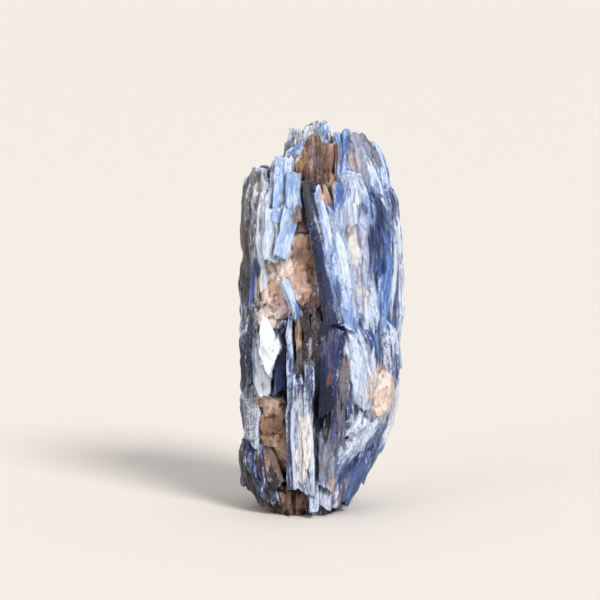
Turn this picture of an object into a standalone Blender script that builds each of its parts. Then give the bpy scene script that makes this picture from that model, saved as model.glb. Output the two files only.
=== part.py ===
"""Kyanite blade cluster: a free-standing specimen of intergrown kyanite blades round pockets of quartz.

Frame: metres, +Z up, the origin on the resting face below the middle of the specimen's box, front facing -Y.
Run it with: blender --background --python part.py

The front is laid out on an elevation drawing, in millimetres: "across" is to the right of the axis
and "up" is above the lowest front corner, seen from slightly above, as the specimen is displayed.
"""

import math
import random
from collections import namedtuple

import bmesh
import bpy
from mathutils import Matrix, Vector

MM = 0.001
SEED = 11

# The elevation drawing
LOOK_DOWN = math.radians(8)  # how far above level the drawing's eye is
FRONT_CORNER_Y = -28.0  # the resting face's corner nearest the eye, where "up" is zero

# The body: height, then its left and right edge, and its reach to the front and back, in millimetres
STATIONS = (
    (0, -22, 8, 27, 16),
    (5, -29, 13, 27, 18),
    (12, -30.5, 17.5, 27, 20),
    (25, -32, 23, 27, 22),
    (40, -32.5, 29, 27, 23),
    (55, -31.5, 31.5, 27, 24),
    (80, -31, 31.5, 26, 24),
    (105, -31, 32, 26, 23),
    (122, -30.5, 31, 24, 21),
    (135, -30, 28, 21, 18),
    (145, -22, 22.5, 17, 15),
    (155, -10, 14, 10, 12),
)
ROUNDNESS = 2.4  # the exponent of a section's outline: 2 is an ellipse, more is squarer

GAP = 0.3  # clearance between the kyanite and each pocket mineral

# A blade on the drawing: its lower and upper end (across, up), width, thickness, the way its broad
# face turns (degrees, positive to the right), how far it stands proud of the body, and its laths
Blade = namedtuple("Blade", "name foot tip width thick turn proud laths")

FRONT_BLADES = (
    # left edge, seen along the grain
    Blade("left_rib_high", (-30.5, 74), (-29.5, 136), 7, 8, -50, 0, 2),
    Blade("left_rib_low", (-31, 26), (-31, 90), 7, 8, -45, 0, 2),
    Blade("left_heel", (-30, 8), (-31.5, 36), 7, 8, -40, 0.5, 2),
    Blade("left_scale", (-31.5, 99), (-31.5, 118), 5, 6, -60, 1.2, 1),
    Blade("left_notch_rib", (-29, 54), (-29.5, 94), 4, 7, -30, 1, 1),
    Blade("left_shoulder", (-27, 112), (-25.5, 141), 6.5, 8, -15, 0.5, 2),
    Blade("left_shoulder_edge", (-30, 108), (-29, 137), 4.5, 7, -35, 0.5, 1),
    Blade("shoulder_gap", (-21, 116), (-19.5, 140.5), 4.5, 6, 0, -1.5, 1),
    # left front, beside the pale crest
    Blade("cream_rib", (-27, 98), (-24.5, 131), 4.5, 8, -12, -0.5, 1),
    Blade("navy_chip", (-27, 80), (-26, 108), 4.5, 7, -25, 0, 1),
    Blade("white_rib", (-24, 88), (-23, 130), 3, 8, -8, 1.5, 1),
    Blade("dark_stripe", (-21.5, 98), (-21, 124), 3, 6, -5, -1, 1),
    Blade("crest_left", (-17.5, 116), (-17, 141), 4.5, 9, -8, 1.5, 1),
    Blade("crest_middle", (-14.5, 116), (-14, 144), 5.5, 9, -4, 2.5, 1),
    Blade("crest_right", (-9.5, 118), (-10.5, 136), 5.5, 9, 4, 3, 1),
    Blade("lean_left", (-20.5, 100.5), (-18.5, 120), 4, 9, -8, 2.5, 1),
    Blade("lean_middle", (-18.5, 101), (-14.5, 124), 4.5, 9, -6, 3.2, 1),
    Blade("lean_right", (-16.5, 100.5), (-10, 124), 4.5, 9, 2, 4, 1),
    Blade("splinter", (-7.5, 77), (-15, 95), 2.8, 6, 22, -2.5, 1),
    # the prow, the long dark blade that overhangs the quartz
    Blade("prow", (6, 76.5), (-6.8, 133), 7, 12, -25, 5.5, 2),
    Blade("prow_flank", (11, 73), (-3.8, 131), 4, 12, 25, 5, 1),
    Blade("second_flank", (14, 73), (1, 127), 5, 11, 20, 3, 2),
    # upper right face
    Blade("blue_upper", (8, 110), (6.5, 134), 5.5, 10, 14, 2.5, 1),
    Blade("pale_upper", (13, 114), (11, 136), 5.5, 10, 18, 3, 2),
    Blade("crown_white_tip", (6.5, 130), (6, 154), 3, 9, 0, -7, 1),
    Blade("crown_blue_tip", (10, 126), (10.5, 155), 4.5, 9, 10, -2.5, 1),
    Blade("lavender", (18, 131), (13.5, 152.5), 4.8, 9, 25, 0, 1),
    Blade("brown_top", (21, 134), (18.8, 151.5), 4.5, 9, 30, -3, 1),
    Blade("right_rim", (30, 116), (21.5, 149), 6.5, 9, 50, 0.5, 2),
    Blade("right_upper", (28, 108), (18.5, 143), 8, 9, 38, 1.2, 3),
    Blade("right_inner", (19.5, 112), (14.5, 136), 6, 9, 28, 2, 1),
    Blade("periwinkle", (18.5, 88), (14.5, 124), 5, 9, 25, 2, 2),
    Blade("window", (23, 94), (22, 116), 7, 8, 36, -1.5, 1),
    Blade("window_streak", (27.5, 100), (21, 129), 3, 8, 42, 1, 1),
    Blade("edge_white", (30.5, 98), (29.5, 121), 5.5, 8, 60, 0.5, 1),
    Blade("edge_grey", (31, 70), (30.5, 106), 5.5, 8, 62, 0.5, 2),
    Blade("cobalt", (25.5, 74), (27, 107), 6, 9, 44, 1.2, 2),
    Blade("right_pale", (21.5, 72), (19.5, 99), 6, 9, 34, 2, 2),
    Blade("seam_side", (12.5, 72), (6.5, 117), 4.5, 10, 22, 3, 1),
    # lower left front
    Blade("mirror", (-19.5, 56), (-23.5, 83), 8.5, 8, -18, 3, 1),
    Blade("mirror_low", (-24.5, 48), (-26.5, 72), 4.5, 8, -22, 2, 1),
    Blade("navy_face", (-15.5, 47), (-14.5, 72), 7, 8, 18, 0.5, 1),
    Blade("left_small", (-28.5, 47), (-29.5, 61), 4.5, 7, -35, 1, 1),
    Blade("silver_block", (-28, 28), (-28.5, 52), 6.5, 9, -22, 2, 2),
    Blade("low_left_a", (-27, 15), (-29.5, 33), 6, 8, -25, 1.2, 2),
    Blade("low_left_b", (-19.5, 5), (-26, 30), 6.5, 9, -15, 1, 2),
    Blade("low_left_c", (-16.5, 11), (-22.5, 27), 5.5, 8, -5, 0, 1),
    Blade("heel_brown", (-27, 7), (-30, 22), 5.5, 8, -35, 0, 1),
    Blade("heel_edge", (-21, 3.5), (-26, 15), 6.5, 8, -25, 0, 1),
    # middle, below the quartz
    Blade("thin_slate", (-11.5, 10), (-12.5, 76), 3, 11, -12, 2.5, 1),
    Blade("thin_navy", (-9.8, 16), (-10.5, 70), 2.6, 9, -5, 1, 1),
    Blade("white_blade", (-6, 8), (-7.5, 73), 8, 12, -4, 5, 3),
    Blade("pale_foot", (-5, 0.5), (-3.6, 16), 4.5, 10, 0, 4.5, 1),
    Blade("umber_a", (-5.5, 62), (-4.5, 84), 2.4, 9, -8, 3, 1),
    Blade("umber_b", (-3, 50), (-2, 82), 2.4, 9, 4, 3, 1),
    Blade("umber_c", (-0.5, 46), (0.5, 80), 2.4, 9, -14, 3, 1),
    Blade("umber_d", (1.2, 60), (2.6, 81), 2.4, 9, 8, 3, 1),
    Blade("midnight", (1, 33), (3.4, 76), 7.5, 9, -35, 1.5, 2),
    Blade("slate_side", (8.4, 43), (6.6, 77), 5.5, 11, 12, 4, 2),
    Blade("fan_a", (5.2, 22), (11.6, 69), 4.2, 11, 15, 3.4, 1),
    Blade("fan_b", (2.8, 15), (8.6, 60), 3.4, 10, 6, 3, 1),
    Blade("low_middle", (0.2, 9), (3.6, 36), 5.5, 10, 6, 3, 2),
    Blade("shadow_strip", (-1.8, 6), (-1.4, 50), 3.4, 8, -8, 0.5, 1),
    Blade("pale_wedge", (1.6, 2.5), (2.8, 16), 5.5, 10, 6, 3, 1),
    # lower right face
    Blade("white_lean", (19.5, 42), (11.6, 78), 7.5, 11, 26, 3.6, 3),
    Blade("lavender_lean", (23, 47), (15.2, 79), 4.2, 10, 32, 3, 1),
    Blade("crease", (22.5, 62), (16, 79), 3, 9, 34, 3.2, 1),
    Blade("rough_a", (31, 57), (25, 77), 7, 9, 46, 1.2, 2),
    Blade("rough_b", (27, 58), (24, 74), 6, 9, 40, 1.5, 2),
    Blade("edge_lean", (24, 25), (32, 57), 6.5, 9, 50, 0.6, 2),
    Blade("streak_a", (5, 18), (25, 42), 6, 10, 26, 2.6, 2),
    Blade("streak_b", (1.6, 13), (20, 37), 5.5, 10, 20, 3, 2),
    Blade("streak_c", (11, 30), (21, 43), 4.5, 9, 26, 3, 1),
    Blade("low_right_a", (7, 6), (19, 27), 7.5, 10, 28, 1.6, 2),
    Blade("low_right_b", (12, 9), (23, 31), 7, 9, 42, 1.2, 2),
    Blade("low_right_c", (16.5, 11), (26.5, 35), 5.5, 9, 55, 0.8, 2),
    Blade("low_right_d", (4.5, 3.5), (10, 19), 4.5, 9, 14, 2, 1),
    # the crown's far rim, set well back behind the hollow
    Blade("rim_a", (-3.2, 132), (-3.2, 157.8), 5.5, 7, 5, -19, 2),
    Blade("rim_b", (-8, 132), (-8.2, 155.2), 5.5, 7, -10, -15, 2),
    Blade("rim_c", (-12, 132), (-11.6, 151), 5.5, 7, -15, -10, 1),
    Blade("rim_d", (-15, 130), (-14.8, 147), 4.5, 7, -20, -6, 1),
    Blade("rim_tip", (0.8, 134), (0.9, 157.3), 3.6, 6, 8, -18, 1),
    Blade("rim_e", (4, 132), (4.2, 152), 4, 7, 10, -15, 1),
)

# The inner mass that the blades grow from, and the pockets in it: centre, size, turn about Z in degrees
CORE_INSET = 5.0
CORE_HEIGHTS = (-4, 12, 30, 55, 80, 105, 120, 130)
CORE_SIDES = 14
POCKETS = (
    ((-10, -26, 97), (23, 26, 44), 4),
    ((-18.5, -27, 31), (12.5, 26, 38), -8),
    ((-13, -28, 5), (14, 26, 16), 0),
    ((-3, -8, 132), (14, 16, 22), 6),
)

# A mineral that fills a gap: grains along a line on the drawing, from foot to tip, how far that line
# stands proud of the body at each end, how far grains stray (across, in depth), their size and number
Filling = namedtuple("Filling", "name slot foot tip proud spread size grains")

FILLINGS = (
    Filling("quartz_front_pocket", "quartz", (-11, 78), (-10, 113), (-8.5, -8.5), (10, 2), (7, 6.2), 16),
    Filling("quartz_lower_pocket", "quartz", (-15, 20), (-20, 46), (-6, -6), (4.5, 1), (5, 6), 8),
    Filling("matrix_base_pocket", "matrix", (-12, 3), (-13, 10), (-6, -6), (5, 1), (5.5, 5), 5),
    Filling("quartz_crown", "quartz", (0.5, 124), (-3, 147), (-7, -15.5), (6, 1.5), (5.6, 5), 10),
    Filling("feldspar_seam", "feldspar", (18.5, 80), (11, 115), (3.4, 2.4), (0.4, 0.2), (4.4, 2.4), 11),
    Filling("feldspar_patch", "feldspar", (25, 42), (24.5, 56), (0.2, 0.2), (2.5, 0.6), (4.4, 4.4), 5),
)
GRAIN_POINTS = 10
GOLDEN_SHARE = 0.618  # spreads the grains evenly from side to side

MATERIALS = {
    "kyanite": ((0.15, 0.21, 0.38), 0.35),
    "quartz": ((0.55, 0.35, 0.26), 0.4),
    "feldspar": ((0.66, 0.47, 0.33), 0.6),
    "matrix": ((0.07, 0.05, 0.045), 0.8),
}

# Sides and back: rings of blades that overlap like thatch
SIDE_FROM, SIDE_TO = 64, 296  # degrees round from the front, through the right
SIDE_COLUMNS = 17
SIDE_WIDTHS = (6, 11)
SIDE_LENGTHS = (30, 56)
SIDE_THICK = (6, 8)

# The crown: upright blades inside the rim, with a hollow left in front of its far rim
CROWN_STEP = (8.4, 7.2)
CROWN_HOLLOW = (-10.5, 5.5, 0.0)  # from, to across, and the y that it reaches back to
CROWN_ROOT = 104


def section(height):
    """The body's middle, half width, front and back reach at a height, in millimetres."""
    height = min(max(height, STATIONS[0][0]), STATIONS[-1][0])
    for low, high in zip(STATIONS, STATIONS[1:]):
        if height <= high[0]:
            share = (height - low[0]) / (high[0] - low[0])
            left, right, front, back = (a + (b - a) * share for a, b in zip(low[1:], high[1:]))
            return (left + right) / 2, (right - left) / 2, front, back
    return section(STATIONS[-1][0])


def front_y(across, height):
    """The y of the body's front surface there."""
    middle, half, front, _ = section(height)
    share = min(abs(across - middle) / half, 0.985)
    return -front * (1 - share**ROUNDNESS) ** (1 / ROUNDNESS)


def on_drawing(point, proud):
    """The place of a drawing point (across, up) that stands proud of the body's front."""
    across, up = point
    corner_up = FRONT_CORNER_Y * math.sin(LOOK_DOWN)
    height = up
    for _ in range(6):
        y = front_y(across, height) - proud
        height = (up + corner_up - y * math.sin(LOOK_DOWN)) / math.cos(LOOK_DOWN)
    return Vector((across, y, height))


def round_body(degrees, height):
    """A point of the body's surface that many degrees round from the front, and the way out there."""
    middle, half, front, back = section(height)
    angle = math.radians(degrees)
    sine, cosine = math.sin(angle), math.cos(angle)
    depth = front if cosine > 0 else back
    power = 2 / ROUNDNESS
    x = middle + half * math.copysign(abs(sine) ** power, sine)
    y = -depth * math.copysign(abs(cosine) ** power, cosine)
    return Vector((x, y, height)), Vector((sine, -cosine * half / depth, 0)).normalized()


def lath_box(foot, tip, out, width, thick, rng, grow=0.0):
    """The eight corners of one lath whose outer face runs from foot to tip, its ends broken at a slant."""
    along = (tip - foot).normalized()
    out = (out - along * out.dot(along)).normalized()
    side = along.cross(out)
    slants = [(rng.uniform(-0.7, 0.7), rng.uniform(-0.5, 0.5)) for _ in range(2)]
    taper = rng.uniform(0.72, 0.96)
    corners = []
    for end, (slant, lean) in zip((-1, 1), slants):
        middle = (foot if end < 0 else tip) + along * grow * end
        half = (width / 2 + grow) * (1 if end < 0 else taper)
        for s, depth in ((-1, grow), (1, grow), (1, -thick - grow), (-1, -thick - grow)):
            reach = end * (slant * s * width / 2 - abs(slant) * width / 2 + lean * depth * 0.5)
            corners.append(middle + side * s * half + out * depth + along * reach)
    return corners


def add_box(mesh, corners):
    """Adds a cube to the bmesh and moves its corners to these eight, foot ring first."""
    cube = bmesh.ops.create_cube(mesh, size=2.0)["verts"]
    rings = {(-1, -1): 0, (1, -1): 1, (1, 1): 2, (-1, 1): 3}
    for vertex in cube:
        x, y, z = (round(c) for c in vertex.co)
        vertex.co = corners[rings[(x, y)] + (4 if z > 0 else 0)] * MM


def split_in_laths(foot, tip, out, width, laths, rng):
    """The laths of a blade as (foot, tip, width): side by side, each ending and standing a little differently."""
    along = (tip - foot).normalized()
    side = along.cross((out - along * out.dot(along)).normalized())
    edges = [-0.5] + sorted((k + rng.uniform(-0.2, 0.2)) / laths - 0.5 for k in range(1, laths)) + [0.5]
    length = (tip - foot).length
    pieces = []
    for k, (low, high) in enumerate(zip(edges, edges[1:])):
        shift = side * (low + high) / 2 * width
        shorter = length * rng.uniform(0.03, 0.16) if laths > 1 and k != laths // 2 else 0
        level = -out * rng.uniform(0.3, 1.0) if k != laths // 2 else Vector()
        at_foot = rng.random() * 0.6
        pieces.append(
            (
                foot + shift + level + along * shorter * at_foot,
                tip + shift + level - along * shorter,
                (high - low) * width + (0.5 if laths > 1 else 0),
            )
        )
    return pieces


def front_laths(grow):
    """Every lath of the front blades, as lists of corners."""
    made = []
    for blade in FRONT_BLADES:
        rng = random.Random(f"{SEED}{blade.name}")
        foot = on_drawing(blade.foot, blade.proud)
        tip = on_drawing(blade.tip, blade.proud)
        turn = math.radians(blade.turn)
        out = Vector((math.sin(turn), -math.cos(turn), 0))
        for low, high, width in split_in_laths(foot, tip, out, blade.width, blade.laths, rng):
            made.append(lath_box(low, high, out, width, blade.thick, rng, grow))
    return made


def side_laths(grow):
    """The overlapping blades of the sides and back."""
    made = []
    for column in range(SIDE_COLUMNS):
        rng = random.Random(f"{SEED}side{column}")
        base = SIDE_FROM + (SIDE_TO - SIDE_FROM) * column / (SIDE_COLUMNS - 1)
        low = rng.uniform(-8, 5)
        while low < 124:
            length = rng.uniform(*SIDE_LENGTHS)
            high = min(low + length, roof(round_body(base, 140)[0]) + rng.uniform(-5, 1))
            degrees = base + rng.uniform(-4, 4)
            foot, out = round_body(degrees + rng.uniform(-3, 3), low)
            tip, _ = round_body(degrees + rng.uniform(-4, 4), high)
            turned = Matrix.Rotation(math.radians(rng.gauss(0, 16)), 3, "Z") @ out
            proud = rng.uniform(-1.6, 0.6)
            made.append(
                lath_box(
                    foot + out * proud,
                    tip + out * proud,
                    turned,
                    rng.uniform(*SIDE_WIDTHS),
                    rng.uniform(*SIDE_THICK),
                    rng,
                    grow,
                )
            )
            low += length * rng.uniform(0.6, 0.85)
    return made


def roof(point):
    """How high the crown stands over a place, in millimetres: a ridge that falls to the left and right."""
    across, y = point.x, point.y
    left = 139 if across < -18 else 139 + (across + 18) * 1.1
    right = 153 - max(across - 10, 0) * 0.75 - max(across - 22, 0) * 1.2
    return min(left, right, 153) - abs(y - 4) * 0.25


def crown_laths(grow):
    """Upright blades inside the rim."""
    made = []
    rng = random.Random(f"{SEED}crown")
    step_x, step_y = CROWN_STEP
    for row in range(-3, 4):
        for column in range(-4, 5):
            place = Vector((column * step_x + rng.uniform(-2, 2), row * step_y + rng.uniform(-1.5, 1.5), 0))
            top = roof(place) + rng.uniform(-7, -0.5)
            middle, half, front, back = section(top - 2)
            reach = front if place.y < 0 else back
            out_of = abs((place.x - middle) / half) ** 2 + abs(place.y / reach) ** 2
            inside_hollow = CROWN_HOLLOW[0] < place.x < CROWN_HOLLOW[1] and place.y < CROWN_HOLLOW[2]
            turn = rng.uniform(0, 2 * math.pi)
            size = rng.uniform(5, 8), rng.uniform(3.5, 5)
            if out_of > 0.7 or inside_hollow:
                continue
            lean = Vector((rng.uniform(-2, 2), rng.uniform(-2, 2), 0))
            out = Vector((math.sin(turn), -math.cos(turn), 0))
            foot = place + Vector((0, 0, CROWN_ROOT))
            made.append(lath_box(foot, place + lean + Vector((0, 0, top)), out, *size, rng, grow))
    return made


def add_core(mesh, grow):
    """Adds the inner mass: a cylinder cut into rings, each moved out to just below the body's surface."""
    bottom, top = CORE_HEIGHTS[0], CORE_HEIGHTS[-1]
    upright = Matrix.Translation((0, 0, (bottom + top) / 2))
    made = bmesh.ops.create_cone(
        mesh, cap_ends=True, segments=CORE_SIDES, radius1=1, radius2=1, depth=top - bottom, matrix=upright
    )["verts"]
    geometry = made + list({edge for v in made for edge in v.link_edges} | {face for v in made for face in v.link_faces})
    for height in CORE_HEIGHTS[1:-1]:
        cut = bmesh.ops.bisect_plane(mesh, geom=geometry, plane_co=(0, 0, height), plane_no=(0, 0, 1))
        geometry = cut["geom"]
    for vertex in [part for part in geometry if isinstance(part, bmesh.types.BMVert)]:
        height = vertex.co.z
        point, out = round_body(math.degrees(math.atan2(vertex.co.x, -vertex.co.y)), height)
        if height == top:
            point.z += grow
        vertex.co = (point - out * (CORE_INSET - grow)) * MM


def turned_box(centre, size, degrees, grow=0.0):
    """The corners of an upright box that is turned about Z."""
    angle = math.radians(degrees)
    out = Vector((math.sin(angle), -math.cos(angle), 0))
    side = Vector((math.cos(angle), math.sin(angle), 0))
    corners = []
    for height in (-1, 1):
        for s, d in ((-1, 1), (1, 1), (1, -1), (-1, -1)):
            half_w, half_d, half_h = (length / 2 + grow for length in size)
            corners.append(Vector(centre) + side * s * half_w + out * d * half_d + Vector((0, 0, height * half_h)))
    return corners


def add_grain(mesh, centre, radius, rng):
    """Adds one angular grain: the hull of points scattered about a ball."""
    points = []
    for _ in range(GRAIN_POINTS):
        way = Vector([rng.gauss(0, 1) for _ in range(3)]).normalized()
        points.append(mesh.verts.new((centre + way * radius * rng.uniform(0.8, 1.15)) * MM))
    hull = bmesh.ops.convex_hull(mesh, input=points)
    inside = [part for part in hull["geom_interior"] if isinstance(part, bmesh.types.BMVert)]
    bmesh.ops.delete(mesh, geom=inside, context="VERTS")


def make_object(name, mesh, collection):
    """One object from the bmesh, which is used up."""
    bmesh.ops.recalc_face_normals(mesh, faces=mesh.faces)
    data = bpy.data.meshes.new(name)
    mesh.to_mesh(data)
    mesh.free()
    made = bpy.data.objects.new(name, data)
    collection.objects.link(made)
    return made


def make_cutter(name, boxes, collection):
    """A helper object of boxes, kept out of the render."""
    mesh = bmesh.new()
    for corners in boxes:
        add_box(mesh, corners)
    made = make_object(name, mesh, collection)
    made.display_type = "WIRE"
    made.hide_render = True
    return made


def boolean(target, other, operation):
    """Joins or cuts the target with another object and applies the result."""
    modifier = target.modifiers.new(operation.lower(), "BOOLEAN")
    modifier.operation = operation
    modifier.object = other
    modifier.solver = "EXACT"
    modifier.use_self = True
    graph = bpy.context.evaluated_depsgraph_get()
    made = bpy.data.meshes.new_from_object(target.evaluated_get(graph))
    target.modifiers.clear()
    target.data = made
    target.data.name = target.name


def keep_largest_body(target):
    """Drops the loose chips and closed voids that a Boolean can leave."""
    mesh = bmesh.new()
    mesh.from_mesh(target.data)
    left = set(mesh.verts)
    bodies = []
    while left:
        todo = [left.pop()]
        body = set(todo)
        while todo:
            for edge in todo.pop().link_edges:
                for other in edge.verts:
                    if other in left:
                        left.discard(other)
                        body.add(other)
                        todo.append(other)
        bodies.append(body)
    largest = max(bodies, key=len)
    bmesh.ops.delete(mesh, geom=[v for v in mesh.verts if v not in largest], context="VERTS")
    mesh.to_mesh(target.data)
    mesh.free()


def make_kyanite(grow, name, collection, cutters, boxes):
    """The blades and the mass that they grow from, in one body, swelled by `grow` for a cutter."""
    mesh = bmesh.new()
    add_core(mesh, grow)
    made = make_object(name, mesh, collection)
    pockets = [turned_box(centre, size, turn, -grow) for centre, size, turn in POCKETS]
    boolean(made, make_cutter(f"{name}_pockets", pockets, cutters), "DIFFERENCE")
    boolean(made, make_cutter(f"{name}_blades", boxes, cutters), "UNION")
    return made


def near(corners, low, high):
    """Whether the corners' own box reaches into the one from low to high."""
    for axis in range(3):
        values = [corner[axis] for corner in corners]
        if min(values) > high[axis] or max(values) < low[axis]:
            return False
    return True


def make_filling(filling, collection, cutters, grown_boxes):
    """One pocket's mineral: grains grown together, trimmed clear of the kyanite round it."""
    rng = random.Random(f"{SEED}{filling.name}")
    foot, tip = on_drawing(filling.foot, filling.proud[0]), on_drawing(filling.tip, filling.proud[1])
    mesh = bmesh.new()
    low, high = Vector((1e3,) * 3), Vector((-1e3,) * 3)
    for step in range(filling.grains):
        share = (step + rng.uniform(0.2, 0.8)) / filling.grains
        sideways = (step * GOLDEN_SHARE % 1) * 2 - 1
        offset = Vector((sideways * filling.spread[0], rng.uniform(-1, 1) * filling.spread[1], 0))
        radius = (filling.size[0] + (filling.size[1] - filling.size[0]) * share) * rng.uniform(0.8, 1.2)
        centre = foot.lerp(tip, share) + offset
        add_grain(mesh, centre, radius, rng)
        for axis in range(3):
            low[axis] = min(low[axis], centre[axis] - radius * 1.2)
            high[axis] = max(high[axis], centre[axis] + radius * 1.2)
    made = make_object(filling.name, mesh, collection)
    close = [corners for corners in grown_boxes if near(corners, low, high)]
    kyanite = make_kyanite(GAP, f"{filling.name}_trim", cutters, cutters, close)
    boolean(made, kyanite, "DIFFERENCE")
    boolean(made, make_cutter(f"{filling.name}_floor", [turned_box((0, 0, -50), (200, 200, 100), 0)], cutters), "DIFFERENCE")
    keep_largest_body(made)
    return made


def paint(target, slot):
    """Gives the object its own material."""
    color, roughness = MATERIALS[slot]
    material = bpy.data.materials.new(target.name)
    material.use_nodes = True
    shader = material.node_tree.nodes["Principled BSDF"]
    shader.inputs["Base Color"].default_value = (*color, 1)
    shader.inputs["Roughness"].default_value = roughness
    shader.inputs["Metallic"].default_value = 0
    target.data.materials.clear()
    target.data.materials.append(material)


def main():
    for old in list(bpy.data.objects):
        bpy.data.objects.remove(old)
    scene = bpy.context.scene.collection
    cluster = bpy.data.collections.new("kyanite_blade_cluster")
    cutters = bpy.data.collections.new("cutters")
    scene.children.link(cluster)
    scene.children.link(cutters)
    cutters.hide_render = True

    floor = [turned_box((0, 0, -50), (200, 200, 100), 0)]
    laths = front_laths(0) + side_laths(0) + crown_laths(0)
    kyanite = make_kyanite(0, "kyanite_blades", cluster, cutters, laths)
    boolean(kyanite, make_cutter("resting_face", floor, cutters), "DIFFERENCE")
    keep_largest_body(kyanite)
    paint(kyanite, "kyanite")

    grown = front_laths(GAP) + side_laths(GAP) + crown_laths(GAP)
    for filling in FILLINGS:
        paint(make_filling(filling, cluster, cutters, grown), filling.slot)
    for helper in list(cutters.objects):
        helper.hide_render = True
        helper.display_type = "WIRE"


main()
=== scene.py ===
"""Kyanite blade cluster: the finished specimen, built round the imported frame.

The blades of the CAD source are laid out again from the same dimensions. They are then sculpted together in a
grid of distances, where their edges, broken ends and cleavage steps are carved, and skinned as one surface.
Lengths are in millimetres until a mesh is made.
"""

import itertools
import math
import random
from collections import namedtuple

import bpy
import numpy as np
from mathutils import Matrix, Vector


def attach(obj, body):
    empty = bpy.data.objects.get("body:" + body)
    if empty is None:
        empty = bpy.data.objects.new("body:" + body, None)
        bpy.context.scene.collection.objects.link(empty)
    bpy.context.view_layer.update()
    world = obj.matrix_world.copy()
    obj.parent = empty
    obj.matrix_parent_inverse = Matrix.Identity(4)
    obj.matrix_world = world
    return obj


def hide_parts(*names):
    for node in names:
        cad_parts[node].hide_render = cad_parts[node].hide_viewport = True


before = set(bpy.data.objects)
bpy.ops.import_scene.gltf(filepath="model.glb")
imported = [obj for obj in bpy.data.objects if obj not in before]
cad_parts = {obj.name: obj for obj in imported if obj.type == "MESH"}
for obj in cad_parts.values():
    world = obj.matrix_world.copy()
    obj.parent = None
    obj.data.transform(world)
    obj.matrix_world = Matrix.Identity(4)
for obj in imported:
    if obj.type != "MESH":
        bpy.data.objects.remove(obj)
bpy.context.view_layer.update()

MM = 0.001
SEED = 11

# ---- The layout, with the same dimensions and draws as the CAD source ----

LOOK_DOWN = math.radians(8)  # how far the photograph looks down
FRONT_CORNER_Y = -28.0  # of the foot's front corner, where the drawing's up is 0
# The body by height: the height, its left and right side, and how far it reaches to the front and back
STATIONS = (
    (0, -22, 8, 27, 16),
    (5, -29, 13, 27, 18),
    (12, -30.5, 17.5, 27, 20),
    (25, -32, 23, 27, 22),
    (40, -32.5, 29, 27, 23),
    (55, -31.5, 31.5, 27, 24),
    (80, -31, 31.5, 26, 24),
    (105, -31, 32, 26, 23),
    (122, -30.5, 31, 24, 21),
    (135, -30, 28, 21, 18),
    (145, -22, 22.5, 17, 15),
    (155, -10, 14, 10, 12),
)
ROUNDNESS = 2.4  # of the body's sections: 2 is an ellipse, and more is squarer
# Boxes cut out of the core for the fillings: middle, size, and turn in degrees
POCKETS = (
    ((-10, -29, 97), (23, 20, 40), 4),
    ((-18.5, -27, 31), (12.5, 26, 38), -8),
    ((-13, -28, 5), (14, 26, 16), 0),
    ((-3, -8, 132), (14, 16, 22), 6),
)
SIDE_FROM, SIDE_TO = 64, 296  # degrees round from the front, of the first and last side column
SIDE_COLUMNS = 17
SIDE_WIDTHS, SIDE_LENGTHS, SIDE_THICK = (6, 11), (30, 56), (6, 8)
FULL_BEVEL = (1.5, 1.5)  # mm, by which the foot and tip of a hidden blade lean back
BACKING_THICK = 5
CROWN_STEP = (8.4, 7.2)  # between the crown's blades, across and back
CROWN_HOLLOW = (-10.5, 5.5, 0.0)  # the left and right end and the back of the crown's hollow
CROWN_LOW = (-1, 10, -2)  # the left and right end and the back of where its blades are lower
CROWN_ROOT = 104  # how high up the crown's blades begin
GRAIN_POINTS = 10  # corners that the source draws for each grain
GOLDEN_SHARE = 0.618  # spreads the grains evenly to the left and right

# Colours by name, as sRGB bytes
TONES = {
    "white": (236, 243, 252),
    "ice": (198, 214, 242),
    "sky": (140, 174, 226),
    "corn": (84, 118, 184),
    "cobalt": (50, 76, 142),
    "navy": (38, 50, 94),
    "midnight": (14, 18, 42),
    "slate": (74, 82, 122),
    "lavender": (160, 164, 190),
    "haze": (200, 208, 230),
    "steel": (112, 140, 192),
    "grey": (146, 149, 166),
    "silver": (198, 203, 218),
    "taupe": (124, 115, 120),
    "umber": (42, 33, 32),
    "brown": (128, 100, 86),
    "rust": (124, 80, 72),
    "cream": (228, 219, 208),
    "ochre": (158, 126, 80),
    "tan": (200, 168, 142),
    "graphite": (68, 64, 71),
    "bark": (108, 100, 100),
    "pink": (242, 224, 219),
    "blush": (226, 198, 188),
    "clay": (178, 136, 108),
    "cocoa": (98, 72, 64),
    "peach": (228, 200, 182),
    "plum": (86, 82, 106),
    "orchid": (190, 160, 162),
    "chalk": (238, 233, 230),
}

# A front blade: lower and upper end (across, up), width, thickness, turn, proud, laths, then its main and
# second tone, how much of the second shows from foot to tip, and how frosted it is
Blade = namedtuple("Blade", "name foot tip width thick turn proud laths tone other share wear")

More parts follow.
